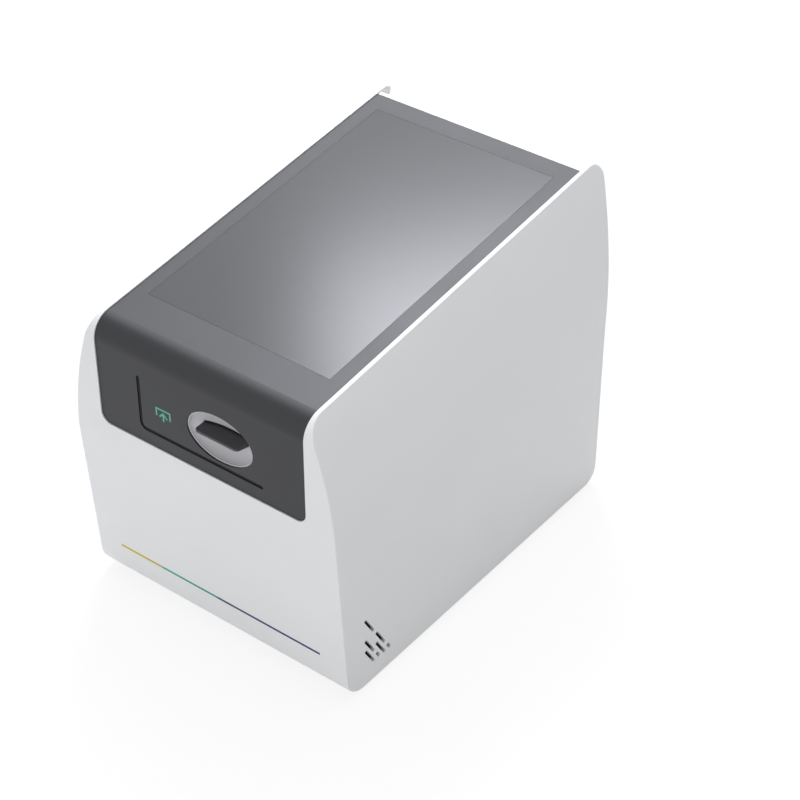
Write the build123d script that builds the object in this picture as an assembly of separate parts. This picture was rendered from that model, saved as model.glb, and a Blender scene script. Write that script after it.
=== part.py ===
from build123d import *
import math
import os

# Bench-top cell counter, in millimetres. +Z up, the front faces -Y, +X is the viewer's right.
# The origin is at the bottom centre of the whole object, on the bench.
os.makedirs("parts", exist_ok=True)

# Overall body
OVERALL_WIDTH = 199.2
OVERALL_DEPTH = 283.6
MIDDLE_HEIGHT = 221.6
TOP_SLOPE_DEG = 6.68
WALL = 3.0
FOOT_HEIGHT = 2.0
FOOT_RADIUS = 7.0
FOOT_FLANGE = 18.0
TOP_FLARE = 18.6
FLARE_START_Z = 113.0
FLARE_REAR_RISE = 22.0
FRONT_LEAN_DEG = 4.03
FRONT_KNEE_Z = 123.0
FRONT_BOTTOM_RADIUS = 16.0
REAR_BOTTOM_RADIUS = 12.0
BEND_RADIUS = 15.0
REAR_CROWN_RADIUS = 9.5
REAR_INSET = 10.7
REAR_ARC_START_Z = 113.0
KNEE_RADIUS = 90.0
EDGE_RADIUS = 0.8
SECTION_RUN_ON = 12.0
SEAM = 0.15
FIT = 0.3
CHEEK_TRIM = 0.2

# Dark top cover and display
COVER_STEP = 0.7
COVER_THICKNESS = 2.6
COVER_BOTTOM_Z = 133.5
COVER_CORNER_RADIUS = 7.0
COVER_REAR_MARGIN = 17.3
SCREEN_SIDE_MARGIN = 10.4
SCREEN_LENGTH = 216.6
SCREEN_CENTRE_Y = 3.0
GLASS_THICKNESS = 1.8
GLASS_LEDGE = 3.0
LCD_BORDER = 5.7
LCD_END_BORDER = 6.2
LCD_THICKNESS = 5.0
LCD_SEAT = 0.05
STRAP_THICKNESS = 1.2
STRAP_WIDTH = 12.0
STRAP_SPREAD = 100.0
STRAP_STUD = 5.0
STRAP_END_TRIM = 3.4
STUD_RADIUS = 2.0
STUD_INSET = 6.0
BOSS_RADIUS = 2.8
BOSS_GAP = 0.8
LEDGE_WIDTH = 3.0
LEDGE_DEPTH = 2.5
LEDGE_GAP = 0.1
DISPLAY_BOARD_SIZE = (124.0, 60.0, 1.6)
DISPLAY_BOARD_T = 50.0

# Finger dish and slide tray
DISH_X = 15.4
DISH_Z = 163.2
DISH_HALF_WIDTH = 24.8
DISH_HALF_HEIGHT = 16.4
DISH_DEPTH = 9.4
DISH_STEP = 1.1
DISH_RIM = 0.9
DISH_WALL = 1.8
DISH_FLANGE = 3.0
DISH_FLANGE_THICKNESS = 1.5
DISH_FIT = 0.1
TRAY_OFFSET = 1.8
TRAY_WIDTH = 31.9
TRAY_THICKNESS = 4.0
TRAY_LENGTH = 131.8
TRAY_PROUD = 0.8
TRAY_LIP_EDGE = 1.6
TRAY_LIP_LENGTH = 11.0
TRAY_CORNER_RADIUS = 2.5
TRAY_SLOT_ABOVE = 1.0
TRAY_SLOT_BELOW = 0.3
TRAY_SLOT_SIDE = 0.4
TRAY_RUN_GAP = 0.15
SLIDE_LENGTH = 76.0
SLIDE_WIDTH = 26.0
SLIDE_POCKET_DEPTH = 1.6
SLIDE_SETBACK = 17.0
SLIDE_FIT = 0.2
SLIDE_LEDGE = 2.5
GUIDE_WALL = 6.0
GUIDE_LIP = 2.0
GUIDE_LIP_THICKNESS = 2.5
GUIDE_REAR_SETBACK = 5.0

# Marks on the front
LIGHT_HALF_SPAN = 45.8
LIGHT_Z = 143.9
LIGHT_TOP_Z = 179.4
LIGHT_WIDTH = 2.4
LIGHT_CORNER_RADIUS = 4.0
LIGHT_GROOVE_DEPTH = 1.2
LIGHT_INLAY = 0.8
ICON_X = -27.6
ICON_TOP_Z = 163.7
ICON_WIDTH = 10.5
ICON_LINE = 1.1
ICON_LEG = 5.4
ICON_ARROW_HEIGHT = 5.6
ICON_ARROW_DROP = 2.4
ICON_HEAD = 3.0
ICON_DEPTH = 0.3
STRIPE_Z = 29.55
STRIPE_HEIGHT = 1.7
STRIPE_HALF_LENGTH = 80.0
STRIPE_DEPTH = 0.4

# Vent slots on the right side
VENT_SLOPE_DEG = -59.5
VENT_LENGTH = 15.8
VENT_SHORT = 5.6
VENT_WIDTH = 2.2
VENT_CORNER = 0.7
VENT_ROW_PITCH = 8.1
VENT_COLUMN_PITCH = 10.35
VENT_COLUMN_DROP = 16.8
VENT_FRONT_SETBACK = 25.0
VENT_TOP_Z = 54.2
VENT_ROWS = (5, 3, 1)

# Base plate, rear panel and fasteners
BASE_THICKNESS = 2.5
PANEL_THICKNESS = 3.0
SCREW_SHANK_RADIUS = 1.5
SCREW_HOLE_RADIUS = 1.65
SCREW_HEAD_RADIUS = 2.9
SCREW_HEAD_HEIGHT = 2.0
REAR_SCREW_DEPTH = 9.0
FOOT_FRONT_SETBACK = 40.0
FOOT_REAR_SETBACK = 22.0
BASE_SCREW_OFFSET = 22.0
REAR_BOSS = 12.0
REAR_BOSS_Z = (34.0, 190.0)

# Optical bench
STAGE_THICKNESS = 6.0
STAGE_HALF_WIDTH = 42.0
STAGE_FRONT_SETBACK = 19.8
STAGE_LENGTH = 118.0
STAGE_WINDOW = (26.0, 40.0)
COLUMN_RADIUS = 6.0
COLUMN_INSET = 8.0
COLUMN_SCREW_DEPTH = 10.0
BACKPLATE_HALF_WIDTH = 26.0
BACKPLATE_THICKNESS = 8.0
BACKPLATE_OFFSET = 34.6
RAIL_WIDTH = 9.0
RAIL_HEIGHT = 6.5
RAIL_ROOT = 3.0
RAIL_ROOT_WIDTH = 6.0
RAIL_BOTTOM_Z = 99.0
RAIL_TOP_GAP = 5.5
CARRIAGE_WIDTH = 20.0
CARRIAGE_DEPTH = 10.0
CARRIAGE_HEIGHT = 26.0
CARRIAGE_Z = 112.0
CARRIAGE_RUN_GAP = 0.08
CARRIAGE_BACK_GAP = 0.5
BRACKET_THICKNESS = 7.0
BRACKET_Z = 118.0
BRACKET_HALF_WIDTH = 14.0
THREAD_GAP = 0.05
OBJECTIVE_RADIUS = 12.0
OBJECTIVE_THREAD_RADIUS = 10.1
OBJECTIVE_TIP_RADIUS = 5.0
OBJECTIVE_TIP_GAP = 4.8
OBJECTIVE_CONE = 12.0
SCREW_SIDE_GAP = 1.0
SCREW_OFFSET_Y = 11.0
LEAD_RADIUS = 2.0
LEAD_GAP = 0.05
NUT_RADIUS = 4.0
NUT_FLANGE_RADIUS = 6.5
NUT_FLANGE = 2.0
NUT_WING = 8.0
MOTOR_SIZE = 20.0
MOTOR_LENGTH = 28.0
MOTOR_TOP_Z = 84.0
MOTOR_BORE_DEPTH = 10.0
MOTOR_BRACKET_THICKNESS = 3.0
MOTOR_BRACKET_MARGIN = 2.0
MOTOR_BRACKET_LEG = 15.0
MOTOR_BOSS_RADIUS = 7.5
MOTOR_BOSS_HEIGHT = 1.5
BEARING_BLOCK_HEIGHT = 7.0
BEARING_BLOCK_HALF = 8.0
CUBE_SIZE = 30.0
CUBE_Z = 64.0
CUBE_BRACKET_WIDTH = 20.0
CUBE_BRACKET_HEIGHT = 18.0
MIRROR_SIZE = (24.0, 20.0, 1.0)
MIRROR_FIT = 0.05
LIGHT_PORT_RADIUS = 9.0
EXCITATION_RADIUS = 11.0
EXCITATION_LENGTH = 28.0
SINK_SIZE = 26.0
SINK_LENGTH = 20.0
SINK_FINS = 6
SINK_FIN_THICKNESS = 1.5
SINK_BASE = 4.0
TUBE_RADIUS = 12.0
TUBE_LENGTH = 24.0
CAMERA_SIZE = 36.0
LAMP_RADIUS = 12.0
LAMP_HEIGHT = 15.0
LAMP_CLEARANCE = 6.5
LAMP_WALL = 3.0
LENS_THICKNESS = 3.0
LENS_SETBACK = 0.8
LENS_CURVE_RADIUS = 20.0
LED_THICKNESS = 1.6
LED_CHIP = 3.0
ARM_THICKNESS = 6.0
ARM_WIDTH = 18.0
POST_WIDTH = 9.0
POST_GAP = 2.0

# Electronics
BOARD_THICKNESS = 1.6
STANDOFF_HEIGHT = 11.5
STANDOFF_RADIUS = 3.0
STANDOFF_INSET = 6.0
BOARD_SIZE = (110.0, 107.0)
BOARD_SIDE_GAP = 8.0
BOARD_REAR_GAP = 9.6
USB_SIZE = (14.5, 19.9, 15.6)
USB_SLOT = (12.5, 13.0, 5.1)
USB_TONGUE = (11.1, 10.0, 1.8)
USB_OFFSET = 26.0
NETWORK_SIZE = (16.0, 21.0, 13.5)
NETWORK_JACK = (11.8, 13.0, 8.0)
NETWORK_OFFSET = 52.0
PORT_PROUD = 0.3
SUPPLY_SIZE = (56.0, 80.0, 32.0)
SUPPLY_SIDE_GAP = 6.0
SUPPLY_REAR_GAP = 40.0
SUPPLY_SLOTS = 9
SUPPLY_SLOT = 2.5
SUPPLY_SLOT_DEPTH = 1.5
SUPPLY_SLOT_MARGIN = 10.0
INLET_BODY = (27.2, 22.0, 20.0)
INLET_CAVITY = (24.2, 16.0, 16.6)
INLET_FLANGE = (50.0, 3.0, 24.0)
INLET_SCREW_SPACING = 40.0
INLET_Z = 34.0
INLET_SIDE_GAP = 36.0
INLET_CHAMFER = 4.5
PIN_SIZE = (2.0, 14.0, 4.0)
PIN_SPACING = 14.0
PIN_RISE = 4.0
PIN_DROP = 2.0
SWITCH_HOLE = (13.2, 12.0, 19.2)
SWITCH_BEZEL = (15.0, 2.0, 21.0)
SWITCH_Z = 66.0
ROCKER_WIDTH = 9.6
ROCKER_HEIGHT = 15.0
ROCKER_TILT_DEG = 8.0
ROCKER_PIVOT_DEPTH = 4.0
ROCKER_FACE = 4.2
ROCKER_BACK = 2.5
ROCKER_DIP = 1.6
ROCKER_VALLEY = 1.0
ROCKER_TAPER = 0.6
ROCKER_CLEARANCE = 0.35
ROCKER_PIN_RADIUS = 1.0
ROCKER_PIN_REACH = 1.2
ROCKER_PIN_GAP = 0.06
FAN_SIZE = 60.0
FAN_THICKNESS = 15.0
FAN_BORE_RADIUS = 28.5
FAN_CORNER = 4.0
FAN_HOLE_SPACING = 50.0
FAN_TIP_GAP = 1.0
FAN_HUB_RADIUS = 16.0
FAN_BLADES = 7
FAN_BLADE_THICKNESS = 1.4
FAN_BLADE_PITCH_DEG = 38.0
FAN_X = -42.0
FAN_Z = 112.0
FAN_STRUT = 3.0
FAN_PIN_LENGTH = 11.0
FAN_END_GAP = 0.5
FAN_BLADE_CHORD = 13.0
FAN_PIN_RADIUS = 1.5
FAN_PIN_GAP = 0.05
GRILLE_SLOT = 3.0
GRILLE_PITCH = 6.0
SPEAKER_RADIUS = 14.0
SPEAKER_DEPTH = 8.0
SPEAKER_PLATE = 2.0
SPEAKER_WALL_GAP = 2.0
SPEAKER_SIZE = (30.0, 52.0)
SPEAKER_FOOT = 14.0
SPEAKER_SETBACK = 42.0
SPEAKER_DOME = 1.2
MAGNET_SIZE = (10.0, 4.7, 3.9)
MAGNET_GAP = 0.3
KEEPER_SIZE = (10.0, 1.5, 3.0)
KEEPER_RISE = 0.5
RIBBON_WIDTH = 20.0
RIBBON_THICKNESS = 0.4
RIBBON_BEND = 4.0
RIBBON_HOLD = 16.0
CHIP_SIZE = (30.0, 30.0, 12.0)
CHIP_PLACE = (28.0, 45.0)
CHIP_BASE = 3.0

# Places worked out from the sizes above
FRONT_Y = -OVERALL_DEPTH / 2 + TRAY_PROUD
REAR_Y = OVERALL_DEPTH / 2
SLOPE = math.radians(TOP_SLOPE_DEG)
BODY_BASE_Z = FOOT_HEIGHT
FLOOR_Z = BODY_BASE_Z + WALL
BASE_TOP_Z = FLOOR_Z + BASE_THICKNESS
HALF_WIDTH = OVERALL_WIDTH / 2
INNER_HALF = HALF_WIDTH - WALL
FRONT_FOOT_Y = FRONT_Y + math.tan(math.radians(FRONT_LEAN_DEG)) * (FRONT_KNEE_Z - BODY_BASE_Z)
COVER_HALF_WIDTH = HALF_WIDTH - TOP_FLARE - WALL + CHEEK_TRIM
COVER_REAR_Y = REAR_Y - COVER_REAR_MARGIN
COVER_FACE_Y = FRONT_Y + COVER_STEP
PANEL_FACE_Y = COVER_REAR_Y + PANEL_THICKNESS + SEAM
PANEL_INNER_Y = COVER_REAR_Y + SEAM
SCREEN_WIDTH = 2 * (COVER_HALF_WIDTH - SCREEN_SIDE_MARGIN)
DISH_RIM_Y = COVER_FACE_Y + DISH_STEP
TRAY_TOP_Z = DISH_Z + 0.5
TRAY_BOTTOM_Z = TRAY_TOP_Z - TRAY_THICKNESS
TRAY_FRONT_Y = -OVERALL_DEPTH / 2
TRAY_REAR_Y = TRAY_FRONT_Y + TRAY_LENGTH
STAGE_TOP_Z = TRAY_BOTTOM_Z - TRAY_RUN_GAP
STAGE_BOTTOM_Z = STAGE_TOP_Z - STAGE_THICKNESS
STAGE_FRONT_Y = TRAY_FRONT_Y + STAGE_FRONT_SETBACK
STAGE_REAR_Y = STAGE_FRONT_Y + STAGE_LENGTH
SLIDE_FRONT_Y = TRAY_FRONT_Y + SLIDE_SETBACK
AXIS_X = DISH_X - TRAY_OFFSET
AXIS_Y = SLIDE_FRONT_Y + SLIDE_LENGTH / 2
BACKPLATE_Y = AXIS_Y + BACKPLATE_OFFSET


def top_z(y):
    """Height of the sloping top plane over a given depth."""
    return MIDDLE_HEIGHT + math.tan(SLOPE) * y


def block(x0, x1, y0, y1, z0, z1):
    return Pos((x0 + x1) / 2, (y0 + y1) / 2, (z0 + z1) / 2) * Box(x1 - x0, y1 - y0, z1 - z0)


def rod_z(x, y, z0, z1, radius):
    return Pos(x, y, (z0 + z1) / 2) * Cylinder(radius, z1 - z0)


def rod_y(x, z, y0, y1, radius):
    return Pos(x, (y0 + y1) / 2, z) * Rot(90, 0, 0) * Cylinder(radius, y1 - y0)


def rod_x(y, z, x0, x1, radius):
    return Pos((x0 + x1) / 2, y, z) * Rot(0, 90, 0) * Cylinder(radius, x1 - x0)


def save(shape, name):
    """Write one named piece, each solid of it on its own."""
    solids = shape.solids()
    export_step(Compound(children=list(solids)) if len(solids) > 1 else solids[0], f"parts/{name}.step")
    print(name, len(solids), round(sum(s.volume for s in solids)))


# Side outline of the body, drawn with depth across and height up
def outline(inset=0.0):
    rise = top_z(REAR_Y) - REAR_ARC_START_Z
    arc_lean = 2 * math.atan(REAR_INSET / rise)
    half_corner = (math.pi / 2 - arc_lean - SLOPE) / 2
    bisector = half_corner + SLOPE
    crown_y = REAR_Y + REAR_CROWN_RADIUS * (math.cos(bisector) / math.sin(half_corner) - 1)
    inset_at_crown = REAR_INSET + crown_y - REAR_Y
    rise = top_z(crown_y) - REAR_ARC_START_Z
    arc_radius = (rise**2 + inset_at_crown**2) / (2 * inset_at_crown)
    arc_angle = math.degrees(math.asin(rise / arc_radius))
    front_foot = (FRONT_FOOT_Y, BODY_BASE_Z)
    front_knee = (FRONT_Y, FRONT_KNEE_Z)
    bend = (FRONT_Y, top_z(FRONT_Y))
    crown = (crown_y, top_z(crown_y))
    rear_knee = (REAR_Y - REAR_INSET, REAR_ARC_START_Z)
    rear_foot = (REAR_Y - REAR_INSET, BODY_BASE_Z)
    rear_arc = JernArc(rear_knee, (0, 1), arc_radius, -arc_angle)
    straight = Polyline(crown, bend, front_knee, front_foot, rear_foot, rear_knee)
    face = make_face(Curve() + [rear_arc] + straight.edges())
    roundings = (
        (front_foot, FRONT_BOTTOM_RADIUS),
        (rear_foot, REAR_BOTTOM_RADIUS),
        (crown, REAR_CROWN_RADIUS),
        (bend, BEND_RADIUS),
        (front_knee, KNEE_RADIUS),
    )
    for corner, radius in roundings:
        vertex = face.vertices().sort_by_distance((*corner, 0))[0]
        face = fillet(vertex, radius)
    if inset:
        face = offset(face, amount=-inset)
    return face


def side_prism(face, half_width=OVERALL_WIDTH):
    """A side-view face swept across the body, to both sides of its middle."""
    return extrude(Plane.YZ * face, amount=half_width, both=True)


def flare_start(y):
    """Height where the sides begin to lean in. It climbs towards the rear, as the top does."""
    return FLARE_START_Z + FLARE_REAR_RISE * (y - FRONT_Y) / (REAR_Y - FRONT_Y)


# Front view of the body's width, at one depth
def width_section(y, inset=0.0):
    start_z = flare_start(y)
    rise = top_z(y) - start_z
    radius = (rise**2 + TOP_FLARE**2) / (2 * TOP_FLARE)
    angle = math.degrees(math.asin(rise / radius))
    half = HALF_WIDTH - inset
    arc = JernArc((half, start_z), (0, 1), radius - inset, angle)
    end = arc @ 1
    tip = end + (arc % 1) * SECTION_RUN_ON
    low = BODY_BASE_Z - SECTION_RUN_ON
    right = [Line((0, low), (half, low)), Line((half, low), (half, start_z)), arc, Line(end, tip)]
    right.append(Line(tip, (0, tip.Y)))
    left = [mirror(edge, Plane.YZ) for edge in right]
    return Plane(origin=(0, y, 0), x_dir=(1, 0, 0), z_dir=(0, -1, 0)) * make_face(Curve() + right + left)


def width_loft(inset=0.0):
    """The body between its two flared sides, running on past the front and the rear."""
    ends = (FRONT_Y - SECTION_RUN_ON, REAR_Y + SECTION_RUN_ON)
    return loft([width_section(y, inset) for y in ends], ruled=True)


body_width = width_loft()
cavity_width = width_loft(WALL)


def on_the_side(edge):
    """True for the edges where a flared side meets the outline of the body."""
    start = edge @ 0
    end = edge @ 1
    same_side = start.X * end.X > 0
    wide = min(abs(start.X), abs(end.X)) > HALF_WIDTH - TOP_FLARE - 1
    joint = abs(start.Z - flare_start(start.Y)) < 0.01 and abs(end.Z - flare_start(end.Y)) < 0.01
    return same_side and wide and not joint


def body_solid():
    raw = side_prism(outline()) & body_width
    return fillet([edge for edge in raw.edges() if on_the_side(edge)], EDGE_RADIUS)


def inner_half_width(y, z):
    """Distance from the middle to the inside of a cheek."""
    start_z = flare_start(y)
    if z <= start_z:
        return HALF_WIDTH - WALL
    rise = top_z(y) - start_z
    radius = (rise**2 + TOP_FLARE**2) / (2 * TOP_FLARE)
    return HALF_WIDTH - radius + math.sqrt((radius - WALL) ** 2 - (z - start_z) ** 2)


def cover_front_face(side_gap, bottom_gap):
    """Front view of the space the dark cover takes, with its rounded lower corners."""
    half = COVER_HALF_WIDTH + side_gap
    low = COVER_BOTTOM_Z - bottom_gap
    high = top_z(REAR_Y) + 20
    radius = COVER_CORNER_RADIUS + side_gap
    line = FilletPolyline((-half, high), (-half, low), (half, low), (half, high), radius=radius)
    return make_face(Plane.XZ * (Curve() + line.edges() + [Line((half, high), (-half, high))]))


def cover_prism(side_gap, bottom_gap, rear_y):
    face = cover_front_face(side_gap, bottom_gap)
    prism = extrude(face, amount=REAR_Y + 20, both=True)
    return prism & block(-HALF_WIDTH, HALF_WIDTH, FRONT_Y - 5, rear_y, 0, top_z(REAR_Y) + 10)


def wrap_band(outer_inset, inner_inset):
    """A layer that follows the top, the bend and the front, between two depths."""
    return side_prism(outline(outer_inset)) - side_prism(outline(inner_inset), OVERALL_WIDTH + 5)


body = body_solid()

# Housing shell: front, cheeks and bottom flange in one moulding
cover_back = COVER_STEP + COVER_THICKNESS
ledge_back = cover_back + LEDGE_GAP + LEDGE_DEPTH
above_all = top_z(REAR_Y) + 20
past_rear = REAR_Y + 10


def shell_cavity():
    """The room inside the shell, open to the rear and to the top between the cheeks."""
    rear_room = block(-OVERALL_WIDTH, OVERALL_WIDTH, COVER_REAR_Y / 2, past_rear, FLOOR_Z, above_all)
    top_room = block(-OVERALL_WIDTH, OVERALL_WIDTH, 0, past_rear, FRONT_KNEE_Z, above_all)
    return (side_prism(outline(WALL)) + rear_room + top_room) & cavity_width


def cover_ledges():
    """Inner ledges that the dark cover rests on, beside and below it."""
    band = wrap_band(cover_back + LEDGE_GAP, ledge_back)
    low = COVER_BOTTOM_Z - 2 * LEDGE_WIDTH
    band &= block(-HALF_WIDTH, HALF_WIDTH, FRONT_Y, COVER_REAR_Y, low, above_all)
    band -= cover_prism(-LEDGE_WIDTH, -LEDGE_WIDTH, REAR_Y)
    return band & width_loft(WALL / 2)


def vent_slots():
    """A right triangle of slanted slots, in columns that step down towards the rear."""
    slots = []
    lean = math.radians(VENT_SLOPE_DEG)
    for column, rows in enumerate(VENT_ROWS):
        for row in range(rows):
            length = VENT_SHORT if row == rows - 1 else VENT_LENGTH
            y = FRONT_Y + VENT_FRONT_SETBACK + column * VENT_COLUMN_PITCH + math.cos(lean) * length / 2
            top = VENT_TOP_Z - column * VENT_COLUMN_DROP - row * VENT_ROW_PITCH
            z = top + math.sin(lean) * length / 2
            slot = RectangleRounded(length, VENT_WIDTH, VENT_CORNER)
            slots.append(Pos(y, z) * Rot(0, 0, VENT_SLOPE_DEG) * slot)
    return Pos(HALF_WIDTH, 0, 0) * extrude(Plane.YZ * (Sketch() + slots), amount=2 * WALL, both=True)


def accent_stripe():
    """The thin line that is let into the leaning lower front."""
    half = STRIPE_HALF_LENGTH
    reach = block(-half, half, FRONT_Y - 1, FRONT_FOOT_Y + WALL, STRIPE_Z, STRIPE_Z + STRIPE_HEIGHT)
    return wrap_band(0, STRIPE_DEPTH) & reach


def corner_places(x, y_front, y_rear, x_middle=0.0):
    return [(x_middle + side * x, y) for side in (-1, 1) for y in (y_front, y_rear)]


foot_x = HALF_WIDTH - FOOT_FLANGE / 2 - 1
foot_front_y = FRONT_Y + FOOT_FRONT_SETBACK
foot_rear_y = COVER_REAR_Y - FOOT_REAR_SETBACK
foot_places = corner_places(foot_x, foot_front_y, foot_rear_y)
base_screw_places = corner_places(foot_x, foot_front_y + BASE_SCREW_OFFSET, foot_rear_y - BASE_SCREW_OFFSET)
base_front_y = FRONT_FOOT_Y + FRONT_BOTTOM_RADIUS + FIT
rear_screw_places = [
    (side * (inner_half_width(PANEL_INNER_Y, z) - REAR_BOSS / 2), z) for side in (-1, 1) for z in REAR_BOSS_Z
]


def rear_boss(x, z):
    """A screw boss that stands on a cheek, its face against the rear panel."""
    middle = (x + math.copysign(WALL / 2, x), PANEL_INNER_Y - REAR_BOSS / 2, z)
    return (Pos(*middle) * Box(REAR_BOSS + WALL, REAR_BOSS, REAR_BOSS)) & width_loft(WALL / 2)


shell = body - shell_cavity()
shell -= cover_prism(SEAM, SEAM, past_rear) & wrap_band(-1, cover_back + LEDGE_GAP)
shell -= cover_prism(-LEDGE_WIDTH, -LEDGE_WIDTH, past_rear) & wrap_band(-1, ledge_back)
open_half = COVER_HALF_WIDTH + SEAM
shell -= block(-open_half, open_half, 0, past_rear, FRONT_KNEE_Z, above_all)
shell += cover_ledges()
flange_half = HALF_WIDTH - FOOT_FLANGE
shell -= block(-flange_half, flange_half, base_front_y + FOOT_FLANGE, past_rear, 0, FLOOR_Z)
for x, z in rear_screw_places:
    shell += rear_boss(x, z)
    shell -= rod_y(x, z, PANEL_INNER_Y - REAR_BOSS, PANEL_INNER_Y, SCREW_HOLE_RADIUS)
for x, y in base_screw_places:
    shell -= rod_z(x, y, BODY_BASE_Z, BODY_BASE_Z + SCREW_HEAD_HEIGHT, SCREW_HEAD_RADIUS + FIT)
    shell -= rod_z(x, y, BODY_BASE_Z, FLOOR_Z, SCREW_HOLE_RADIUS)
shell -= vent_slots()
shell -= accent_stripe()
save(shell, "housing_shell")
save(accent_stripe(), "accent_stripe")

# Feet and base plate
save(Part() + [rod_z(x, y, 0, BODY_BASE_Z, FOOT_RADIUS) for x, y in foot_places], "rubber_feet")
base_half = INNER_HALF - FIT
base_plate = block(-base_half, base_half, base_front_y, PANEL_INNER_Y, FLOOR_Z, BASE_TOP_Z)
for x, y in base_screw_places:
    base_plate -= rod_z(x, y, FLOOR_Z, BASE_TOP_Z, SCREW_HOLE_RADIUS)
save(base_plate, "base_plate")


def screw_up(x, y, head_z, tip_z):
    """A screw that goes in from below, its head between head_z and the part above it."""
    head = rod_z(x, y, head_z, head_z + SCREW_HEAD_HEIGHT, SCREW_HEAD_RADIUS)
    return head + rod_z(x, y, head_z, tip_z, SCREW_SHANK_RADIUS)


def screw_down(x, y, seat_z, tip_z):
    """A screw that goes in from above, its head standing on seat_z."""
    head = rod_z(x, y, seat_z, seat_z + SCREW_HEAD_HEIGHT, SCREW_HEAD_RADIUS)
    return head + rod_z(x, y, tip_z, seat_z, SCREW_SHANK_RADIUS)


def screw_forward(x, z, seat_y, tip_y):
    """A screw that goes in from the rear, its head standing on seat_y."""
    head = rod_y(x, z, seat_y, seat_y + SCREW_HEAD_HEIGHT, SCREW_HEAD_RADIUS)
    return head + rod_y(x, z, tip_y, seat_y, SCREW_SHANK_RADIUS)


save(Part() + [screw_up(x, y, BODY_BASE_Z, BASE_TOP_Z) for x, y in base_screw_places], "base_screws")

# Dark cover over the top, the bend and the upper front, in one moulding
top_plane = Plane(
    origin=(0, SCREEN_CENTRE_Y, top_z(SCREEN_CENTRE_Y)),
    x_dir=(1, 0, 0),
    z_dir=(0, -math.sin(SLOPE), math.cos(SLOPE)),
)


def sloped_block(half_x, half_t, depth0, depth1, x=0.0, t=0.0):
    """A block square to the sloping top: half sizes, and its depths below the top plane."""
    return top_plane * Pos(x, t, -(depth0 + depth1) / 2) * Box(2 * half_x, 2 * half_t, depth1 - depth0)


def sloped_rod(x, t, depth0, depth1, radius):
    return top_plane * Pos(x, t, -(depth0 + depth1) / 2) * Cylinder(radius, depth1 - depth0)


def front_extrude(face, y0, y1):
    """A front-view face swept from one depth to a deeper one."""
    return Pos(0, y1, 0) * extrude(Plane.XZ * face, amount=y1 - y0)


def dish_prism(grow, y0, y1):
    """The dish's oval outline, grown by a margin, between two depths."""
    oval = Ellipse(DISH_HALF_WIDTH + grow, DISH_HALF_HEIGHT + grow)
    return front_extrude(Pos(DISH_X, DISH_Z) * oval, y0, y1)


def light_path():
    """The L of the status light: down on the left, then along under the finger dish."""
    corners = (
        (-LIGHT_HALF_SPAN, LIGHT_TOP_Z),
        (-LIGHT_HALF_SPAN, LIGHT_Z),
        (LIGHT_HALF_SPAN, LIGHT_Z),
    )
    line = trace(FilletPolyline(*corners, radius=LIGHT_CORNER_RADIUS), LIGHT_WIDTH)
    return line + [Pos(*corner) * Circle(LIGHT_WIDTH / 2) for corner in (corners[0], corners[2])]


def icon_face():
    """Load pictogram: a bracket open at the bottom, with an arrow that points up into it."""
    half = ICON_WIDTH / 2
    bottom = ICON_TOP_Z - ICON_LEG
    bracket = Polyline((-half, bottom), (-half, ICON_TOP_Z), (half, ICON_TOP_Z), (half, bottom))
    tip = ICON_TOP_Z - ICON_ARROW_DROP
    stem = Pos(0, tip - ICON_ARROW_HEIGHT / 2) * Rectangle(ICON_LINE, ICON_ARROW_HEIGHT)
    head = Polyline((-ICON_HEAD, tip - ICON_HEAD), (0, tip), (ICON_HEAD, tip - ICON_HEAD))
    return Pos(ICON_X, 0) * (trace(bracket, ICON_LINE) + (stem + trace(head, ICON_LINE)))


cover_inner_y = COVER_FACE_Y + COVER_THICKNESS
glass_back = COVER_STEP + GLASS_THICKNESS
lcd_front = cover_back + LCD_SEAT
lcd_back = lcd_front + LCD_THICKNESS
lcd_half_x = SCREEN_WIDTH / 2 + LCD_BORDER
lcd_half_t = SCREEN_LENGTH / 2 + LCD_END_BORDER
boss_t = lcd_half_t + BOSS_GAP + BOSS_RADIUS
boss_places = corner_places(STRAP_SPREAD / 2, -boss_t, boss_t)
boss_root = cover_back - 0.5

cover = wrap_band(COVER_STEP, cover_back) & cover_prism(0, 0, COVER_REAR_Y)
cover -= sloped_block(SCREEN_WIDTH / 2 + SEAM, SCREEN_LENGTH / 2 + SEAM, 0, glass_back)
cover -= sloped_block(SCREEN_WIDTH / 2 - GLASS_LEDGE, SCREEN_LENGTH / 2 - GLASS_LEDGE, 0, cover_back + 1)
for x, t in boss_places:
    cover += sloped_rod(x, t, boss_root, lcd_back, BOSS_RADIUS)
    cover -= sloped_rod(x, t, cover_back, lcd_back, SCREW_SHANK_RADIUS)
cover -= dish_prism(0, COVER_FACE_Y - 1, cover_inner_y + 1)
cover -= front_extrude(light_path(), COVER_FACE_Y - 1, COVER_FACE_Y + LIGHT_GROOVE_DEPTH)
cover -= front_extrude(icon_face(), COVER_FACE_Y - 1, COVER_FACE_Y + ICON_DEPTH)
save(cover, "top_cover")
groove_floor = COVER_FACE_Y + LIGHT_GROOVE_DEPTH
save(front_extrude(light_path(), groove_floor - LIGHT_INLAY, groove_floor), "status_light")
save(front_extrude(icon_face(), COVER_FACE_Y, COVER_FACE_Y + ICON_DEPTH), "load_pictogram")
save(sloped_block(SCREEN_WIDTH / 2, SCREEN_LENGTH / 2, COVER_STEP, glass_back), "screen_glass")

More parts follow.
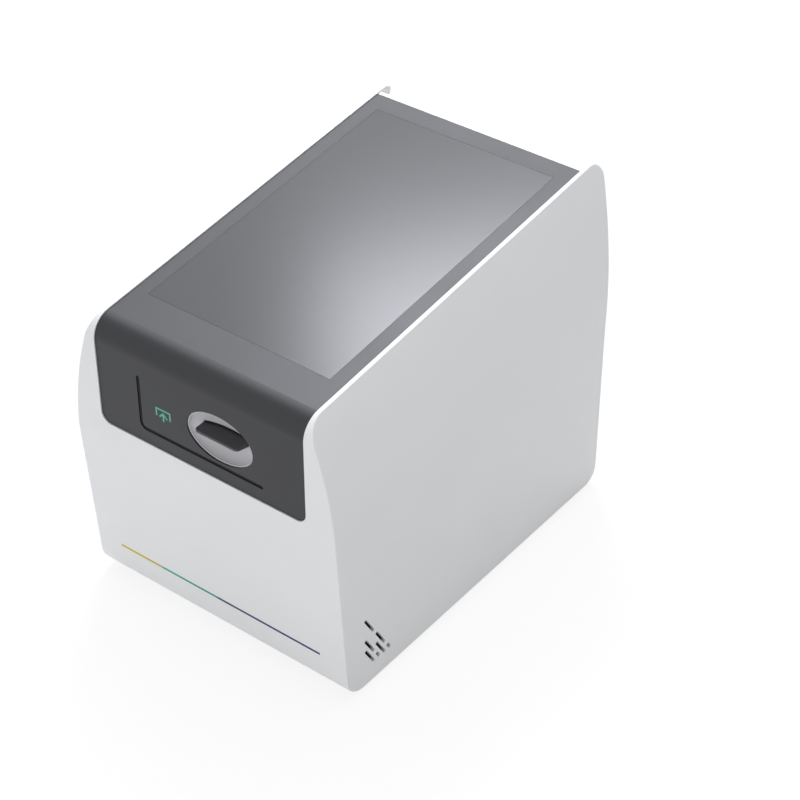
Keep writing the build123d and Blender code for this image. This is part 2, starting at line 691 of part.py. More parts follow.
# Display module and what carries it
save(sloped_block(lcd_half_x, lcd_half_t, lcd_front, lcd_back), "lcd_module")
strap_back = lcd_back + STRAP_THICKNESS
stud_back = strap_back + STRAP_STUD
board_width, board_length, board_thickness = DISPLAY_BOARD_SIZE
stud_half_t = board_length / 2 - STUD_INSET
stud_places = corner_places(STRAP_SPREAD / 2, DISPLAY_BOARD_T - stud_half_t, DISPLAY_BOARD_T + stud_half_t)
straps = Part()
for side in (-1, 1):
    strap_half = boss_t + STRAP_WIDTH / 2 - STRAP_END_TRIM
    straps += sloped_block(STRAP_WIDTH / 2, strap_half, lcd_back, strap_back, x=side * STRAP_SPREAD / 2)
for x, t in boss_places:
    straps -= sloped_rod(x, t, lcd_back, strap_back, SCREW_HOLE_RADIUS)
for x, t in stud_places:
    straps += sloped_rod(x, t, strap_back, stud_back, STUD_RADIUS)
save(straps, "display_straps")
display_screws = Part()
for x, t in boss_places:
    display_screws += sloped_rod(x, t, strap_back, strap_back + SCREW_HEAD_HEIGHT, SCREW_HEAD_RADIUS)
    display_screws += sloped_rod(x, t, cover_back + FIT, strap_back, SCREW_SHANK_RADIUS - THREAD_GAP)
save(display_screws, "display_screws")
board_back = stud_back + board_thickness
display_board = sloped_block(board_width / 2, board_length / 2, stud_back, board_back, t=DISPLAY_BOARD_T)
save(display_board, "display_board")


# Flat ribbon that hangs from the display board and ends flat on the main board
def on_top_plane(t, depth):
    point = top_plane.from_local_coords(Vector(0, t, -depth))
    return (point.Y, point.Z)


ribbon_depth = board_back + RIBBON_THICKNESS / 2
ribbon_start = on_top_plane(DISPLAY_BOARD_T + RIBBON_HOLD, ribbon_depth)
ribbon_drop = on_top_plane(DISPLAY_BOARD_T, ribbon_depth)
ribbon_low = BASE_TOP_Z + STANDOFF_HEIGHT + BOARD_THICKNESS + RIBBON_THICKNESS / 2
ribbon_path = FilletPolyline(
    ribbon_start,
    ribbon_drop,
    (ribbon_drop[0], ribbon_low),
    (ribbon_drop[0] + RIBBON_HOLD, ribbon_low),
    radius=RIBBON_BEND,
)
ribbon = extrude(Plane.YZ * trace(ribbon_path, RIBBON_THICKNESS), amount=RIBBON_WIDTH / 2, both=True)
save(ribbon, "display_ribbon")


# Oval finger dish, pushed in behind the cover and pierced by the tray
def ellipsoid(half_x, half_y, half_z):
    return Pos(DISH_X, DISH_RIM_Y, DISH_Z) * scale(Sphere(1), by=(half_x, half_y, half_z))


hollow = (DISH_HALF_WIDTH - DISH_RIM, DISH_DEPTH, DISH_HALF_HEIGHT - DISH_RIM)
dish_rear_y = DISH_RIM_Y + DISH_DEPTH + DISH_WALL
dish = dish_prism(-DISH_FIT, DISH_RIM_Y, cover_inner_y)
dish += dish_prism(DISH_FLANGE, cover_inner_y, cover_inner_y + DISH_FLANGE_THICKNESS)
behind_cover = block(-HALF_WIDTH, HALF_WIDTH, cover_inner_y, dish_rear_y + 1, COVER_BOTTOM_Z, above_all)
dish += ellipsoid(*[half + DISH_WALL for half in hollow]) & behind_cover
dish -= ellipsoid(*hollow)
slot_half = TRAY_WIDTH / 2 + TRAY_SLOT_SIDE
slot_bottom = TRAY_BOTTOM_Z - TRAY_SLOT_BELOW
slot_top = TRAY_TOP_Z + TRAY_SLOT_ABOVE
dish -= block(AXIS_X - slot_half, AXIS_X + slot_half, DISH_RIM_Y - 1, dish_rear_y + 1, slot_bottom, slot_top)
save(dish, "finger_dish")

# Slide tray: thin lip in the dish, pocket for one slide, window under it
tray_half = TRAY_WIDTH / 2
tray = block(AXIS_X - tray_half, AXIS_X + tray_half, TRAY_FRONT_Y, TRAY_REAR_Y, TRAY_BOTTOM_Z, TRAY_TOP_Z)
tray = fillet(tray.edges().filter_by(Axis.Z).group_by(Axis.Y)[0], TRAY_CORNER_RADIUS)
lip_taper = Polyline(
    (TRAY_FRONT_Y - 1, TRAY_TOP_Z - TRAY_LIP_EDGE),
    (TRAY_FRONT_Y, TRAY_TOP_Z - TRAY_LIP_EDGE),
    (TRAY_FRONT_Y + TRAY_LIP_LENGTH, TRAY_BOTTOM_Z),
    (TRAY_FRONT_Y - 1, TRAY_BOTTOM_Z),
    close=True,
)
tray -= side_prism(make_face(lip_taper))
slide_rear_y = SLIDE_FRONT_Y + SLIDE_LENGTH
pocket_half = SLIDE_WIDTH / 2 + SLIDE_FIT
pocket_ends = (SLIDE_FRONT_Y - SLIDE_FIT, slide_rear_y + SLIDE_FIT)
pocket_floor = TRAY_TOP_Z - SLIDE_POCKET_DEPTH
tray -= block(AXIS_X - pocket_half, AXIS_X + pocket_half, *pocket_ends, pocket_floor, TRAY_TOP_Z)
window_half = SLIDE_WIDTH / 2 - SLIDE_LEDGE
window_ends = (SLIDE_FRONT_Y + SLIDE_LEDGE, slide_rear_y - SLIDE_LEDGE)
tray -= block(AXIS_X - window_half, AXIS_X + window_half, *window_ends, TRAY_BOTTOM_Z, TRAY_TOP_Z)
keeper_width, keeper_depth, keeper_height = KEEPER_SIZE
keeper_z = TRAY_BOTTOM_Z + KEEPER_RISE
keeper = block(
    AXIS_X - keeper_width / 2,
    AXIS_X + keeper_width / 2,
    TRAY_REAR_Y - keeper_depth,
    TRAY_REAR_Y,
    keeper_z,
    keeper_z + keeper_height,
)
save(tray - keeper, "slide_tray")
save(keeper, "tray_keeper")

# Stage that carries the tray, its guides and the magnet that holds it shut
column_half = STAGE_HALF_WIDTH - COLUMN_INSET
column_ends = (STAGE_FRONT_Y + COLUMN_INSET, STAGE_REAR_Y - COLUMN_INSET)
column_places = corner_places(column_half, *column_ends, x_middle=AXIS_X)
column_screw_tip = STAGE_BOTTOM_Z - COLUMN_SCREW_DEPTH
stage_sides = (AXIS_X - STAGE_HALF_WIDTH, AXIS_X + STAGE_HALF_WIDTH)
stage = block(*stage_sides, STAGE_FRONT_Y, STAGE_REAR_Y, STAGE_BOTTOM_Z, STAGE_TOP_Z)
stage -= Pos(AXIS_X, AXIS_Y, STAGE_TOP_Z) * Box(*STAGE_WINDOW, 3 * STAGE_THICKNESS)
columns = Part()
for x, y in column_places:
    stage -= rod_z(x, y, STAGE_BOTTOM_Z, STAGE_TOP_Z, SCREW_HOLE_RADIUS)
    columns += rod_z(x, y, BASE_TOP_Z, STAGE_BOTTOM_Z, COLUMN_RADIUS)
    columns -= rod_z(x, y, column_screw_tip, STAGE_BOTTOM_Z, SCREW_HOLE_RADIUS)
save(stage, "stage_plate")
save(columns, "stage_columns")
save(Part() + [screw_down(x, y, STAGE_TOP_Z, column_screw_tip) for x, y in column_places], "stage_screws")


def tray_guide(side):
    """A rail beside the tray, with a lip that runs over the tray's edge."""
    near = TRAY_WIDTH / 2 + TRAY_RUN_GAP
    wall = sorted((AXIS_X + side * near, AXIS_X + side * (near + GUIDE_WALL)))
    lip = sorted((AXIS_X + side * (near - GUIDE_LIP), AXIS_X + side * (near + GUIDE_WALL)))
    ends = (STAGE_FRONT_Y, TRAY_REAR_Y - GUIDE_REAR_SETBACK)
    lip_bottom = TRAY_TOP_Z + TRAY_RUN_GAP
    rail = block(*wall, *ends, STAGE_TOP_Z, lip_bottom)
    return rail + block(*lip, *ends, lip_bottom, lip_bottom + GUIDE_LIP_THICKNESS)


save(tray_guide(-1), "tray_guide_left")
save(tray_guide(1), "tray_guide_right")
magnet_width, magnet_depth, magnet_height = MAGNET_SIZE
magnet_y = TRAY_REAR_Y + MAGNET_GAP
magnet_sides = (AXIS_X - magnet_width / 2, AXIS_X + magnet_width / 2)
magnet = block(*magnet_sides, magnet_y, magnet_y + magnet_depth, STAGE_TOP_Z, STAGE_TOP_Z + magnet_height)
save(magnet, "latch_magnet")

# Focus drive: backplate, T rail, carriage, and a screw turned by a small motor
backplate_sides = (AXIS_X - BACKPLATE_HALF_WIDTH, AXIS_X + BACKPLATE_HALF_WIDTH)
backplate_rear_y = BACKPLATE_Y + BACKPLATE_THICKNESS
save(block(*backplate_sides, BACKPLATE_Y, backplate_rear_y, BASE_TOP_Z, STAGE_BOTTOM_Z), "optics_backplate")


def rail_shape(gap, z0, z1):
    """The T of the rail, grown by a running gap."""
    head_half = RAIL_WIDTH / 2 + gap
    root_half = RAIL_ROOT_WIDTH / 2 + gap
    head_ends = (BACKPLATE_Y - RAIL_HEIGHT - gap, BACKPLATE_Y - RAIL_ROOT + gap)
    head = block(AXIS_X - head_half, AXIS_X + head_half, *head_ends, z0, z1)
    return head + block(AXIS_X - root_half, AXIS_X + root_half, head_ends[0], BACKPLATE_Y, z0, z1)


rail_top_z = STAGE_BOTTOM_Z - RAIL_TOP_GAP
carriage_rear_y = BACKPLATE_Y - CARRIAGE_BACK_GAP
carriage_face_y = carriage_rear_y - CARRIAGE_DEPTH
carriage_top_z = CARRIAGE_Z + CARRIAGE_HEIGHT
carriage_half = CARRIAGE_WIDTH / 2
carriage_sides = (AXIS_X - carriage_half, AXIS_X + carriage_half)
carriage = block(*carriage_sides, carriage_face_y, carriage_rear_y, CARRIAGE_Z, carriage_top_z)
save(rail_shape(0, RAIL_BOTTOM_Z, rail_top_z), "focus_rail")
save(carriage - rail_shape(CARRIAGE_RUN_GAP, CARRIAGE_Z, carriage_top_z), "focus_carriage")

screw_x = AXIS_X + CUBE_SIZE / 2 + SCREW_SIDE_GAP + MOTOR_BRACKET_MARGIN + MOTOR_SIZE / 2
screw_y = BACKPLATE_Y - SCREW_OFFSET_Y
bracket_top_z = BRACKET_Z + BRACKET_THICKNESS
bracket_half = BRACKET_HALF_WIDTH
bracket_front_y = AXIS_Y - bracket_half
bracket = block(
    AXIS_X - bracket_half, AXIS_X + bracket_half, bracket_front_y, carriage_face_y, BRACKET_Z, bracket_top_z
)
wing_left_x = AXIS_X + carriage_half + CARRIAGE_BACK_GAP
bracket += block(
    wing_left_x, screw_x + NUT_WING, screw_y - NUT_WING, screw_y + NUT_WING, BRACKET_Z, bracket_top_z
)
bracket -= rod_z(AXIS_X, AXIS_Y, BRACKET_Z, bracket_top_z, OBJECTIVE_THREAD_RADIUS + THREAD_GAP)
bracket -= rod_z(screw_x, screw_y, BRACKET_Z, bracket_top_z, NUT_RADIUS + THREAD_GAP)
save(bracket, "objective_bracket")

objective_tip_z = TRAY_BOTTOM_Z - OBJECTIVE_TIP_GAP
cone_z = objective_tip_z - OBJECTIVE_CONE
objective = rod_z(AXIS_X, AXIS_Y, BRACKET_Z, bracket_top_z, OBJECTIVE_THREAD_RADIUS)
objective += rod_z(AXIS_X, AXIS_Y, bracket_top_z, cone_z, OBJECTIVE_RADIUS)
cone_middle = (AXIS_X, AXIS_Y, cone_z + OBJECTIVE_CONE / 2)
objective += Pos(*cone_middle) * Cone(OBJECTIVE_RADIUS, OBJECTIVE_TIP_RADIUS, OBJECTIVE_CONE)
save(objective, "objective_lens")

nut = rod_z(screw_x, screw_y, BRACKET_Z, bracket_top_z, NUT_RADIUS)
nut += rod_z(screw_x, screw_y, BRACKET_Z - NUT_FLANGE, BRACKET_Z, NUT_FLANGE_RADIUS)
nut -= rod_z(screw_x, screw_y, BRACKET_Z - NUT_FLANGE, bracket_top_z, LEAD_RADIUS + LEAD_GAP)
save(nut, "focus_nut")

motor_half = MOTOR_SIZE / 2
motor_sides = (screw_x - motor_half, screw_x + motor_half, screw_y - motor_half, screw_y + motor_half)
motor_boss_z = MOTOR_TOP_Z + MOTOR_BOSS_HEIGHT
lead_bottom_z = motor_boss_z - MOTOR_BORE_DEPTH
bearing_bottom_z = rail_top_z - BEARING_BLOCK_HEIGHT
motor = block(*motor_sides, MOTOR_TOP_Z - MOTOR_LENGTH, MOTOR_TOP_Z)
motor += rod_z(screw_x, screw_y, MOTOR_TOP_Z, motor_boss_z, MOTOR_BOSS_RADIUS)
motor -= rod_z(screw_x, screw_y, lead_bottom_z, motor_boss_z, LEAD_RADIUS + LEAD_GAP)
save(motor, "focus_motor")
save(rod_z(screw_x, screw_y, lead_bottom_z, rail_top_z, LEAD_RADIUS), "lead_screw")

bracket_reach = motor_half + MOTOR_BRACKET_MARGIN
motor_plate_top = MOTOR_TOP_Z + MOTOR_BRACKET_THICKNESS
plate_sides = (screw_x - bracket_reach, screw_x + bracket_reach)
motor_bracket = block(*plate_sides, screw_y - bracket_reach, BACKPLATE_Y, MOTOR_TOP_Z, motor_plate_top)
leg_sides = (plate_sides[0], backplate_sides[1])
leg_front_y = BACKPLATE_Y - MOTOR_BRACKET_THICKNESS
motor_bracket += block(*leg_sides, leg_front_y, BACKPLATE_Y, MOTOR_TOP_Z, motor_plate_top + MOTOR_BRACKET_LEG)
motor_bracket -= rod_z(screw_x, screw_y, MOTOR_TOP_Z, motor_plate_top, MOTOR_BOSS_RADIUS + FIT)
save(motor_bracket, "motor_bracket")
bearing_sides = (screw_x - BEARING_BLOCK_HALF, screw_x + BEARING_BLOCK_HALF)
bearing_front_y = screw_y - BEARING_BLOCK_HALF
bearing = block(*bearing_sides, bearing_front_y, BACKPLATE_Y, bearing_bottom_z, rail_top_z)
bearing -= rod_z(screw_x, screw_y, bearing_bottom_z, rail_top_z, LEAD_RADIUS + LEAD_GAP)
save(bearing, "screw_bearing_block")

# Light path below the stage: filter cube, excitation lamp, tube lens and camera
cube_half = CUBE_SIZE / 2
cube_middle_z = CUBE_Z + cube_half
cube_left_x = AXIS_X - cube_half
cube_rear_y = AXIS_Y + cube_half
mirror_place = Pos(AXIS_X, AXIS_Y, cube_middle_z) * Rot(0, -45, 0)
cube = Pos(AXIS_X, AXIS_Y, cube_middle_z) * Box(CUBE_SIZE, CUBE_SIZE, CUBE_SIZE)
cube -= rod_z(AXIS_X, AXIS_Y, CUBE_Z, CUBE_Z + CUBE_SIZE, LIGHT_PORT_RADIUS)
cube -= rod_x(AXIS_Y, cube_middle_z, cube_left_x, AXIS_X, LIGHT_PORT_RADIUS)
cube -= mirror_place * Box(*[size + 2 * MIRROR_FIT for size in MIRROR_SIZE])
save(cube, "filter_cube")
save(mirror_place * Box(*MIRROR_SIZE), "dichroic_mirror")
holder_sides = (AXIS_X - CUBE_BRACKET_WIDTH / 2, AXIS_X + CUBE_BRACKET_WIDTH / 2)
holder_z = (cube_middle_z - CUBE_BRACKET_HEIGHT / 2, cube_middle_z + CUBE_BRACKET_HEIGHT / 2)
cube_bracket = block(*holder_sides, cube_rear_y, BACKPLATE_Y, *holder_z)
save(cube_bracket, "cube_bracket")
lamp_left_x = cube_left_x - EXCITATION_LENGTH
save(rod_x(AXIS_Y, cube_middle_z, lamp_left_x, cube_left_x, EXCITATION_RADIUS), "excitation_led")


def fin_places(width, fin, count):
    """Middles of a row of fins whose outer faces are flush with the block."""
    pitch = (width - fin) / (count - 1)
    return [-(width - fin) / 2 + index * pitch for index in range(count)]


sink_half = SINK_SIZE / 2
sink_z = (cube_middle_z - sink_half, cube_middle_z + sink_half)
sink = block(lamp_left_x - SINK_BASE, lamp_left_x, AXIS_Y - sink_half, AXIS_Y + sink_half, *sink_z)
for offset_y in fin_places(SINK_SIZE, SINK_FIN_THICKNESS, SINK_FINS):
    fin_y = AXIS_Y + offset_y
    fin_ends = (fin_y - SINK_FIN_THICKNESS / 2, fin_y + SINK_FIN_THICKNESS / 2)
    sink += block(lamp_left_x - SINK_LENGTH, lamp_left_x - SINK_BASE, *fin_ends, *sink_z)
save(sink, "led_heat_sink")
tube_bottom_z = CUBE_Z - TUBE_LENGTH
save(rod_z(AXIS_X, AXIS_Y, tube_bottom_z, CUBE_Z, TUBE_RADIUS), "tube_lens")
camera_half = CAMERA_SIZE / 2
camera_sides = (AXIS_X - camera_half, AXIS_X + camera_half, AXIS_Y - camera_half, AXIS_Y + camera_half)
save(block(*camera_sides, BASE_TOP_Z, tube_bottom_z), "camera_module")

# Bright-field lamp that hangs over the slide
lamp_bottom_z = TRAY_TOP_Z + LAMP_CLEARANCE
lamp_top_z = lamp_bottom_z + LAMP_HEIGHT
lamp_roof_z = lamp_top_z - LAMP_WALL
lamp_bore = LAMP_RADIUS - LAMP_WALL
lamp = rod_z(AXIS_X, AXIS_Y, lamp_bottom_z, lamp_top_z, LAMP_RADIUS)
lamp -= rod_z(AXIS_X, AXIS_Y, lamp_bottom_z, lamp_roof_z, lamp_bore)
save(lamp, "illuminator_housing")
led = rod_z(AXIS_X, AXIS_Y, lamp_roof_z - LED_THICKNESS, lamp_roof_z, lamp_bore - THREAD_GAP)
led_chip_z = lamp_roof_z - LED_THICKNESS - LED_CHIP / 4
led += Pos(AXIS_X, AXIS_Y, led_chip_z) * Box(LED_CHIP, LED_CHIP, LED_CHIP / 2)
save(led, "brightfield_led")
lens_z = lamp_bottom_z + LENS_SETBACK
lens = rod_z(AXIS_X, AXIS_Y, lens_z, lens_z + LENS_THICKNESS, lamp_bore - THREAD_GAP)
lens &= Pos(AXIS_X, AXIS_Y, lens_z + LENS_THICKNESS - LENS_CURVE_RADIUS) * Sphere(LENS_CURVE_RADIUS)
save(lens, "condenser_lens")
post_x = AXIS_X + TRAY_WIDTH / 2 + TRAY_RUN_GAP + GUIDE_WALL + POST_GAP
arm_ends = (AXIS_Y - ARM_WIDTH / 2, AXIS_Y + ARM_WIDTH / 2)
arm_top_z = lamp_top_z + ARM_THICKNESS
arm = block(post_x, post_x + POST_WIDTH, *arm_ends, STAGE_TOP_Z, arm_top_z)
arm += block(AXIS_X - LAMP_RADIUS, post_x + POST_WIDTH, *arm_ends, lamp_top_z, arm_top_z)
save(arm, "illuminator_arm")

# Main board on its standoffs, with the sockets that show at the rear
board_left_x = -INNER_HALF + BOARD_SIDE_GAP
board_right_x = board_left_x + BOARD_SIZE[0]
board_rear_y = PANEL_INNER_Y - BOARD_REAR_GAP
board_front_y = board_rear_y - BOARD_SIZE[1]
board_bottom_z = BASE_TOP_Z + STANDOFF_HEIGHT
board_top_z = board_bottom_z + BOARD_THICKNESS
main_board = block(board_left_x, board_right_x, board_front_y, board_rear_y, board_bottom_z, board_top_z)
save(main_board, "main_board")
standoff_half = BOARD_SIZE[0] / 2 - STANDOFF_INSET
standoff_ends = (board_front_y + STANDOFF_INSET, board_rear_y - STANDOFF_INSET)
standoff_places = corner_places(standoff_half, *standoff_ends, x_middle=(board_left_x + board_right_x) / 2)
standoffs = [rod_z(x, y, BASE_TOP_Z, board_bottom_z, STANDOFF_RADIUS) for x, y in standoff_places]
save(Part() + standoffs, "board_standoffs")

chip_width, chip_length, chip_height = CHIP_SIZE
chip_x = board_left_x + CHIP_PLACE[0]
chip_y = board_front_y + CHIP_PLACE[1]
chip_fin_z = board_top_z + CHIP_BASE
chip_top_z = board_top_z + chip_height
chip_ends = (chip_y - chip_length / 2, chip_y + chip_length / 2)
chip_sink = block(chip_x - chip_width / 2, chip_x + chip_width / 2, *chip_ends, board_top_z, chip_fin_z)
for offset_x in fin_places(chip_width, SINK_FIN_THICKNESS, SINK_FINS):
    fin_x = chip_x + offset_x
    fin_sides = (fin_x - SINK_FIN_THICKNESS / 2, fin_x + SINK_FIN_THICKNESS / 2)
    chip_sink += block(*fin_sides, *chip_ends, chip_fin_z, chip_top_z)
save(chip_sink, "processor_heat_sink")


def rear_box(x, z, width, height, y0, y1):
    """A block centred on x and z, between two depths."""
    return block(x - width / 2, x + width / 2, y0, y1, z - height / 2, z + height / 2)


port_face_y = PANEL_FACE_Y + PORT_PROUD
usb_width, usb_depth, usb_height = USB_SIZE
usb_x = board_left_x + USB_OFFSET
usb_z = board_top_z + usb_height / 2
usb = rear_box(usb_x, usb_z, usb_width, usb_height, port_face_y - usb_depth, port_face_y)
slot_width, slot_depth, slot_height = USB_SLOT
tongue_width, tongue_depth, tongue_height = USB_TONGUE
for level in (-1, 1):
    slot_z = usb_z + level * usb_height / 4
    slot_floor_y = port_face_y - slot_depth
    tongue_z = slot_z + slot_height / 2 - tongue_height
    usb -= rear_box(usb_x, slot_z, slot_width, slot_height, slot_floor_y, port_face_y)
    usb += rear_box(usb_x, tongue_z, tongue_width, tongue_height, slot_floor_y, slot_floor_y + tongue_depth)
save(usb, "usb_ports")
net_width, net_depth, net_height = NETWORK_SIZE
net_x = board_left_x + NETWORK_OFFSET
net_z = board_top_z + net_height / 2
jack_width, jack_depth, jack_height = NETWORK_JACK
network = rear_box(net_x, net_z, net_width, net_height, port_face_y - net_depth, port_face_y)
network -= rear_box(net_x, net_z, jack_width, jack_height, port_face_y - jack_depth, port_face_y)
save(network, "ethernet_port")

# Power supply, inlet and switch on the right
supply_width, supply_length, supply_height = SUPPLY_SIZE
supply_right_x = INNER_HALF - SUPPLY_SIDE_GAP
supply_left_x = supply_right_x - supply_width
supply_rear_y = PANEL_INNER_Y - SUPPLY_REAR_GAP
supply_ends = (supply_rear_y - supply_length, supply_rear_y)
supply_top_z = BASE_TOP_Z + supply_height
supply = block(supply_left_x, supply_right_x, *supply_ends, BASE_TOP_Z, supply_top_z)
for offset_y in fin_places(supply_length - 2 * SUPPLY_SLOT_MARGIN, SUPPLY_SLOT, SUPPLY_SLOTS):
    slot_y = supply_rear_y - supply_length / 2 + offset_y
    slot_ends = (slot_y - SUPPLY_SLOT / 2, slot_y + SUPPLY_SLOT / 2)
    slot_sides = (supply_left_x + SUPPLY_SLOT_MARGIN, supply_right_x - SUPPLY_SLOT_MARGIN)
    supply -= block(*slot_sides, *slot_ends, supply_top_z - SUPPLY_SLOT_DEPTH, supply_top_z)
save(supply, "power_supply")

inlet_x = INNER_HALF - INLET_SIDE_GAP
body_width_x, inlet_depth, body_height = INLET_BODY
cavity_width_x, cavity_depth, cavity_height = INLET_CAVITY
flange_width, flange_thickness, flange_height = INLET_FLANGE
pin_width, pin_length, pin_height = PIN_SIZE
inlet_face_y = PANEL_FACE_Y + flange_thickness
cavity_floor_y = inlet_face_y - cavity_depth


def inlet_cavity_face():
    """Front view of the socket: a rectangle with its two upper corners cut off."""
    face = Rectangle(cavity_width_x, cavity_height)
    return Pos(inlet_x, INLET_Z) * chamfer(face.vertices().group_by(Axis.Y)[-1], INLET_CHAMFER)


inlet = rear_box(inlet_x, INLET_Z, flange_width, flange_height, PANEL_FACE_Y, inlet_face_y)
inlet += rear_box(inlet_x, INLET_Z, body_width_x, body_height, PANEL_FACE_Y - inlet_depth, PANEL_FACE_Y)
inlet -= front_extrude(inlet_cavity_face(), cavity_floor_y, inlet_face_y)
for offset_x, rise in ((-PIN_SPACING / 2, 0), (0, PIN_RISE), (PIN_SPACING / 2, 0)):
    pin_z = INLET_Z - PIN_DROP + rise
    pin_x = inlet_x + offset_x
    inlet += rear_box(pin_x, pin_z, pin_width, pin_height, cavity_floor_y, cavity_floor_y + pin_length)
inlet_screw_places = [(inlet_x + side * INLET_SCREW_SPACING / 2, INLET_Z) for side in (-1, 1)]
for x, z in inlet_screw_places:
    inlet -= rod_y(x, z, PANEL_FACE_Y, inlet_face_y, SCREW_HOLE_RADIUS)
save(inlet, "power_inlet")

switch_x = inlet_x
hole_width, hole_depth, hole_height = SWITCH_HOLE
bezel_width, bezel_thickness, bezel_height = SWITCH_BEZEL
bezel_face_y = PANEL_FACE_Y + bezel_thickness
pivot_y = bezel_face_y - ROCKER_PIVOT_DEPTH
rocker_swing = math.hypot(ROCKER_HEIGHT / 2, ROCKER_FACE)
well_half_height = rocker_swing + ROCKER_CLEARANCE
well_width = ROCKER_WIDTH + 2 * ROCKER_CLEARANCE
well_floor_y = pivot_y - ROCKER_BACK - ROCKER_DIP
bezel = rear_box(switch_x, SWITCH_Z, bezel_width, bezel_height, PANEL_FACE_Y, bezel_face_y)
bezel += rear_box(switch_x, SWITCH_Z, hole_width, hole_height, PANEL_FACE_Y - hole_depth, PANEL_FACE_Y)
bezel -= rear_box(switch_x, SWITCH_Z, well_width, 2 * well_half_height, well_floor_y, bezel_face_y)
pin_half = ROCKER_WIDTH / 2 + ROCKER_PIN_REACH
pin_bore_ends = (switch_x - pin_half, switch_x + pin_half)
bezel -= rod_x(pivot_y, SWITCH_Z, *pin_bore_ends, ROCKER_PIN_RADIUS + ROCKER_PIN_GAP)
save(bezel, "switch_bezel")


def rocker_profile():
    """Side view about the pivot: a shallow V outside, narrower inside."""
    half = ROCKER_HEIGHT / 2
    corners = (
        (-ROCKER_BACK, -half + ROCKER_TAPER),
        (ROCKER_FACE, -half),
        (ROCKER_FACE - ROCKER_VALLEY, 0),
        (ROCKER_FACE, half),
        (-ROCKER_BACK, half - ROCKER_TAPER),
    )
    return make_face(Polyline(*corners, close=True))


rocker = extrude(Plane.YZ * rocker_profile(), amount=ROCKER_WIDTH / 2, both=True)
rocker += rod_x(0, 0, -pin_half + ROCKER_CLEARANCE, pin_half - ROCKER_CLEARANCE, ROCKER_PIN_RADIUS)
save(Pos(switch_x, pivot_y, SWITCH_Z) * Rot(-ROCKER_TILT_DEG, 0, 0) * rocker, "power_rocker")

# Cooling fan behind the rear panel
fan_front_y = PANEL_INNER_Y - FAN_THICKNESS
strut_rear_y = fan_front_y + FAN_STRUT
half_spacing = FAN_HOLE_SPACING / 2
fan_screw_places = corner_places(half_spacing, FAN_Z - half_spacing, FAN_Z + half_spacing, x_middle=FAN_X)
fan_pin_rear_y = fan_front_y + FAN_PIN_LENGTH
fan_frame = rear_box(FAN_X, FAN_Z, FAN_SIZE, FAN_SIZE, fan_front_y, PANEL_INNER_Y)
fan_frame = fillet(fan_frame.edges().filter_by(Axis.Y), FAN_CORNER)
fan_frame -= rod_y(FAN_X, FAN_Z, fan_front_y, PANEL_INNER_Y, FAN_BORE_RADIUS)
fan_middle = Pos(FAN_X, (fan_front_y + strut_rear_y) / 2, FAN_Z)
for quarter in range(4):
    strut = Pos(FAN_BORE_RADIUS / 2, 0, 0) * Box(FAN_BORE_RADIUS + 2, FAN_STRUT, FAN_STRUT)
    fan_frame += fan_middle * Rot(0, 45 + 90 * quarter, 0) * strut
fan_frame += rod_y(FAN_X, FAN_Z, fan_front_y, strut_rear_y, FAN_HUB_RADIUS)
fan_frame += rod_y(FAN_X, FAN_Z, fan_front_y, fan_pin_rear_y, FAN_PIN_RADIUS)
for x, z in fan_screw_places:
    fan_frame -= rod_y(x, z, fan_front_y, PANEL_INNER_Y, SCREW_HOLE_RADIUS)
save(fan_frame, "fan_frame")

fan_tip_radius = FAN_BORE_RADIUS - FAN_TIP_GAP
rotor_ends = (strut_rear_y + FAN_END_GAP, PANEL_INNER_Y - FAN_TIP_GAP)
rotor = rod_y(FAN_X, FAN_Z, *rotor_ends, FAN_HUB_RADIUS)
blade_length = fan_tip_radius - FAN_HUB_RADIUS + 2
rotor_middle = Pos(FAN_X, sum(rotor_ends) / 2, FAN_Z)
blades = Part()
for index in range(FAN_BLADES):
    blade = Rot(FAN_BLADE_PITCH_DEG, 0, 0) * Box(blade_length, FAN_BLADE_THICKNESS, FAN_BLADE_CHORD)
    turn = Rot(0, index * 360 / FAN_BLADES, 0)
    blades += rotor_middle * turn * Pos(fan_tip_radius - blade_length / 2, 0, 0) * blade
rotor += blades & rod_y(FAN_X, FAN_Z, *rotor_ends, fan_tip_radius)
rotor -= rod_y(FAN_X, FAN_Z, fan_front_y, fan_pin_rear_y + FAN_END_GAP, FAN_PIN_RADIUS + FAN_PIN_GAP)
save(rotor, "fan_rotor")

# Rear panel with its cut-outs, and the screws at the rear
panel_block = block(-HALF_WIDTH, HALF_WIDTH, PANEL_INNER_Y, PANEL_FACE_Y, FLOOR_Z, above_all)
panel = panel_block & side_prism(outline(COVER_STEP)) & width_loft(WALL + FIT)


def panel_hole(x, z, width, height):
    return rear_box(x, z, width + 2 * FIT, height + 2 * FIT, PANEL_INNER_Y, PANEL_FACE_Y)


panel -= panel_hole(usb_x, usb_z, usb_width, usb_height)
panel -= panel_hole(net_x, net_z, net_width, net_height)
panel -= panel_hole(inlet_x, INLET_Z, body_width_x, body_height)
panel -= panel_hole(switch_x, SWITCH_Z, hole_width, hole_height)
grille_radius = FAN_BORE_RADIUS - GRILLE_SLOT
grille_count = int(grille_radius // GRILLE_PITCH)
for index in range(-grille_count, grille_count + 1):
    offset_x = index * GRILLE_PITCH
    chord = 2 * math.sqrt(grille_radius**2 - offset_x**2)
    panel -= rear_box(FAN_X + offset_x, FAN_Z, GRILLE_SLOT, chord, PANEL_INNER_Y, PANEL_FACE_Y)
for x, z in rear_screw_places + fan_screw_places + inlet_screw_places:
    panel -= rod_y(x, z, PANEL_INNER_Y, PANEL_FACE_Y, SCREW_HOLE_RADIUS)
save(panel, "rear_panel")
rear_tip_y = PANEL_INNER_Y - REAR_SCREW_DEPTH
rear_screws = [screw_forward(x, z, PANEL_FACE_Y, rear_tip_y) for x, z in rear_screw_places]
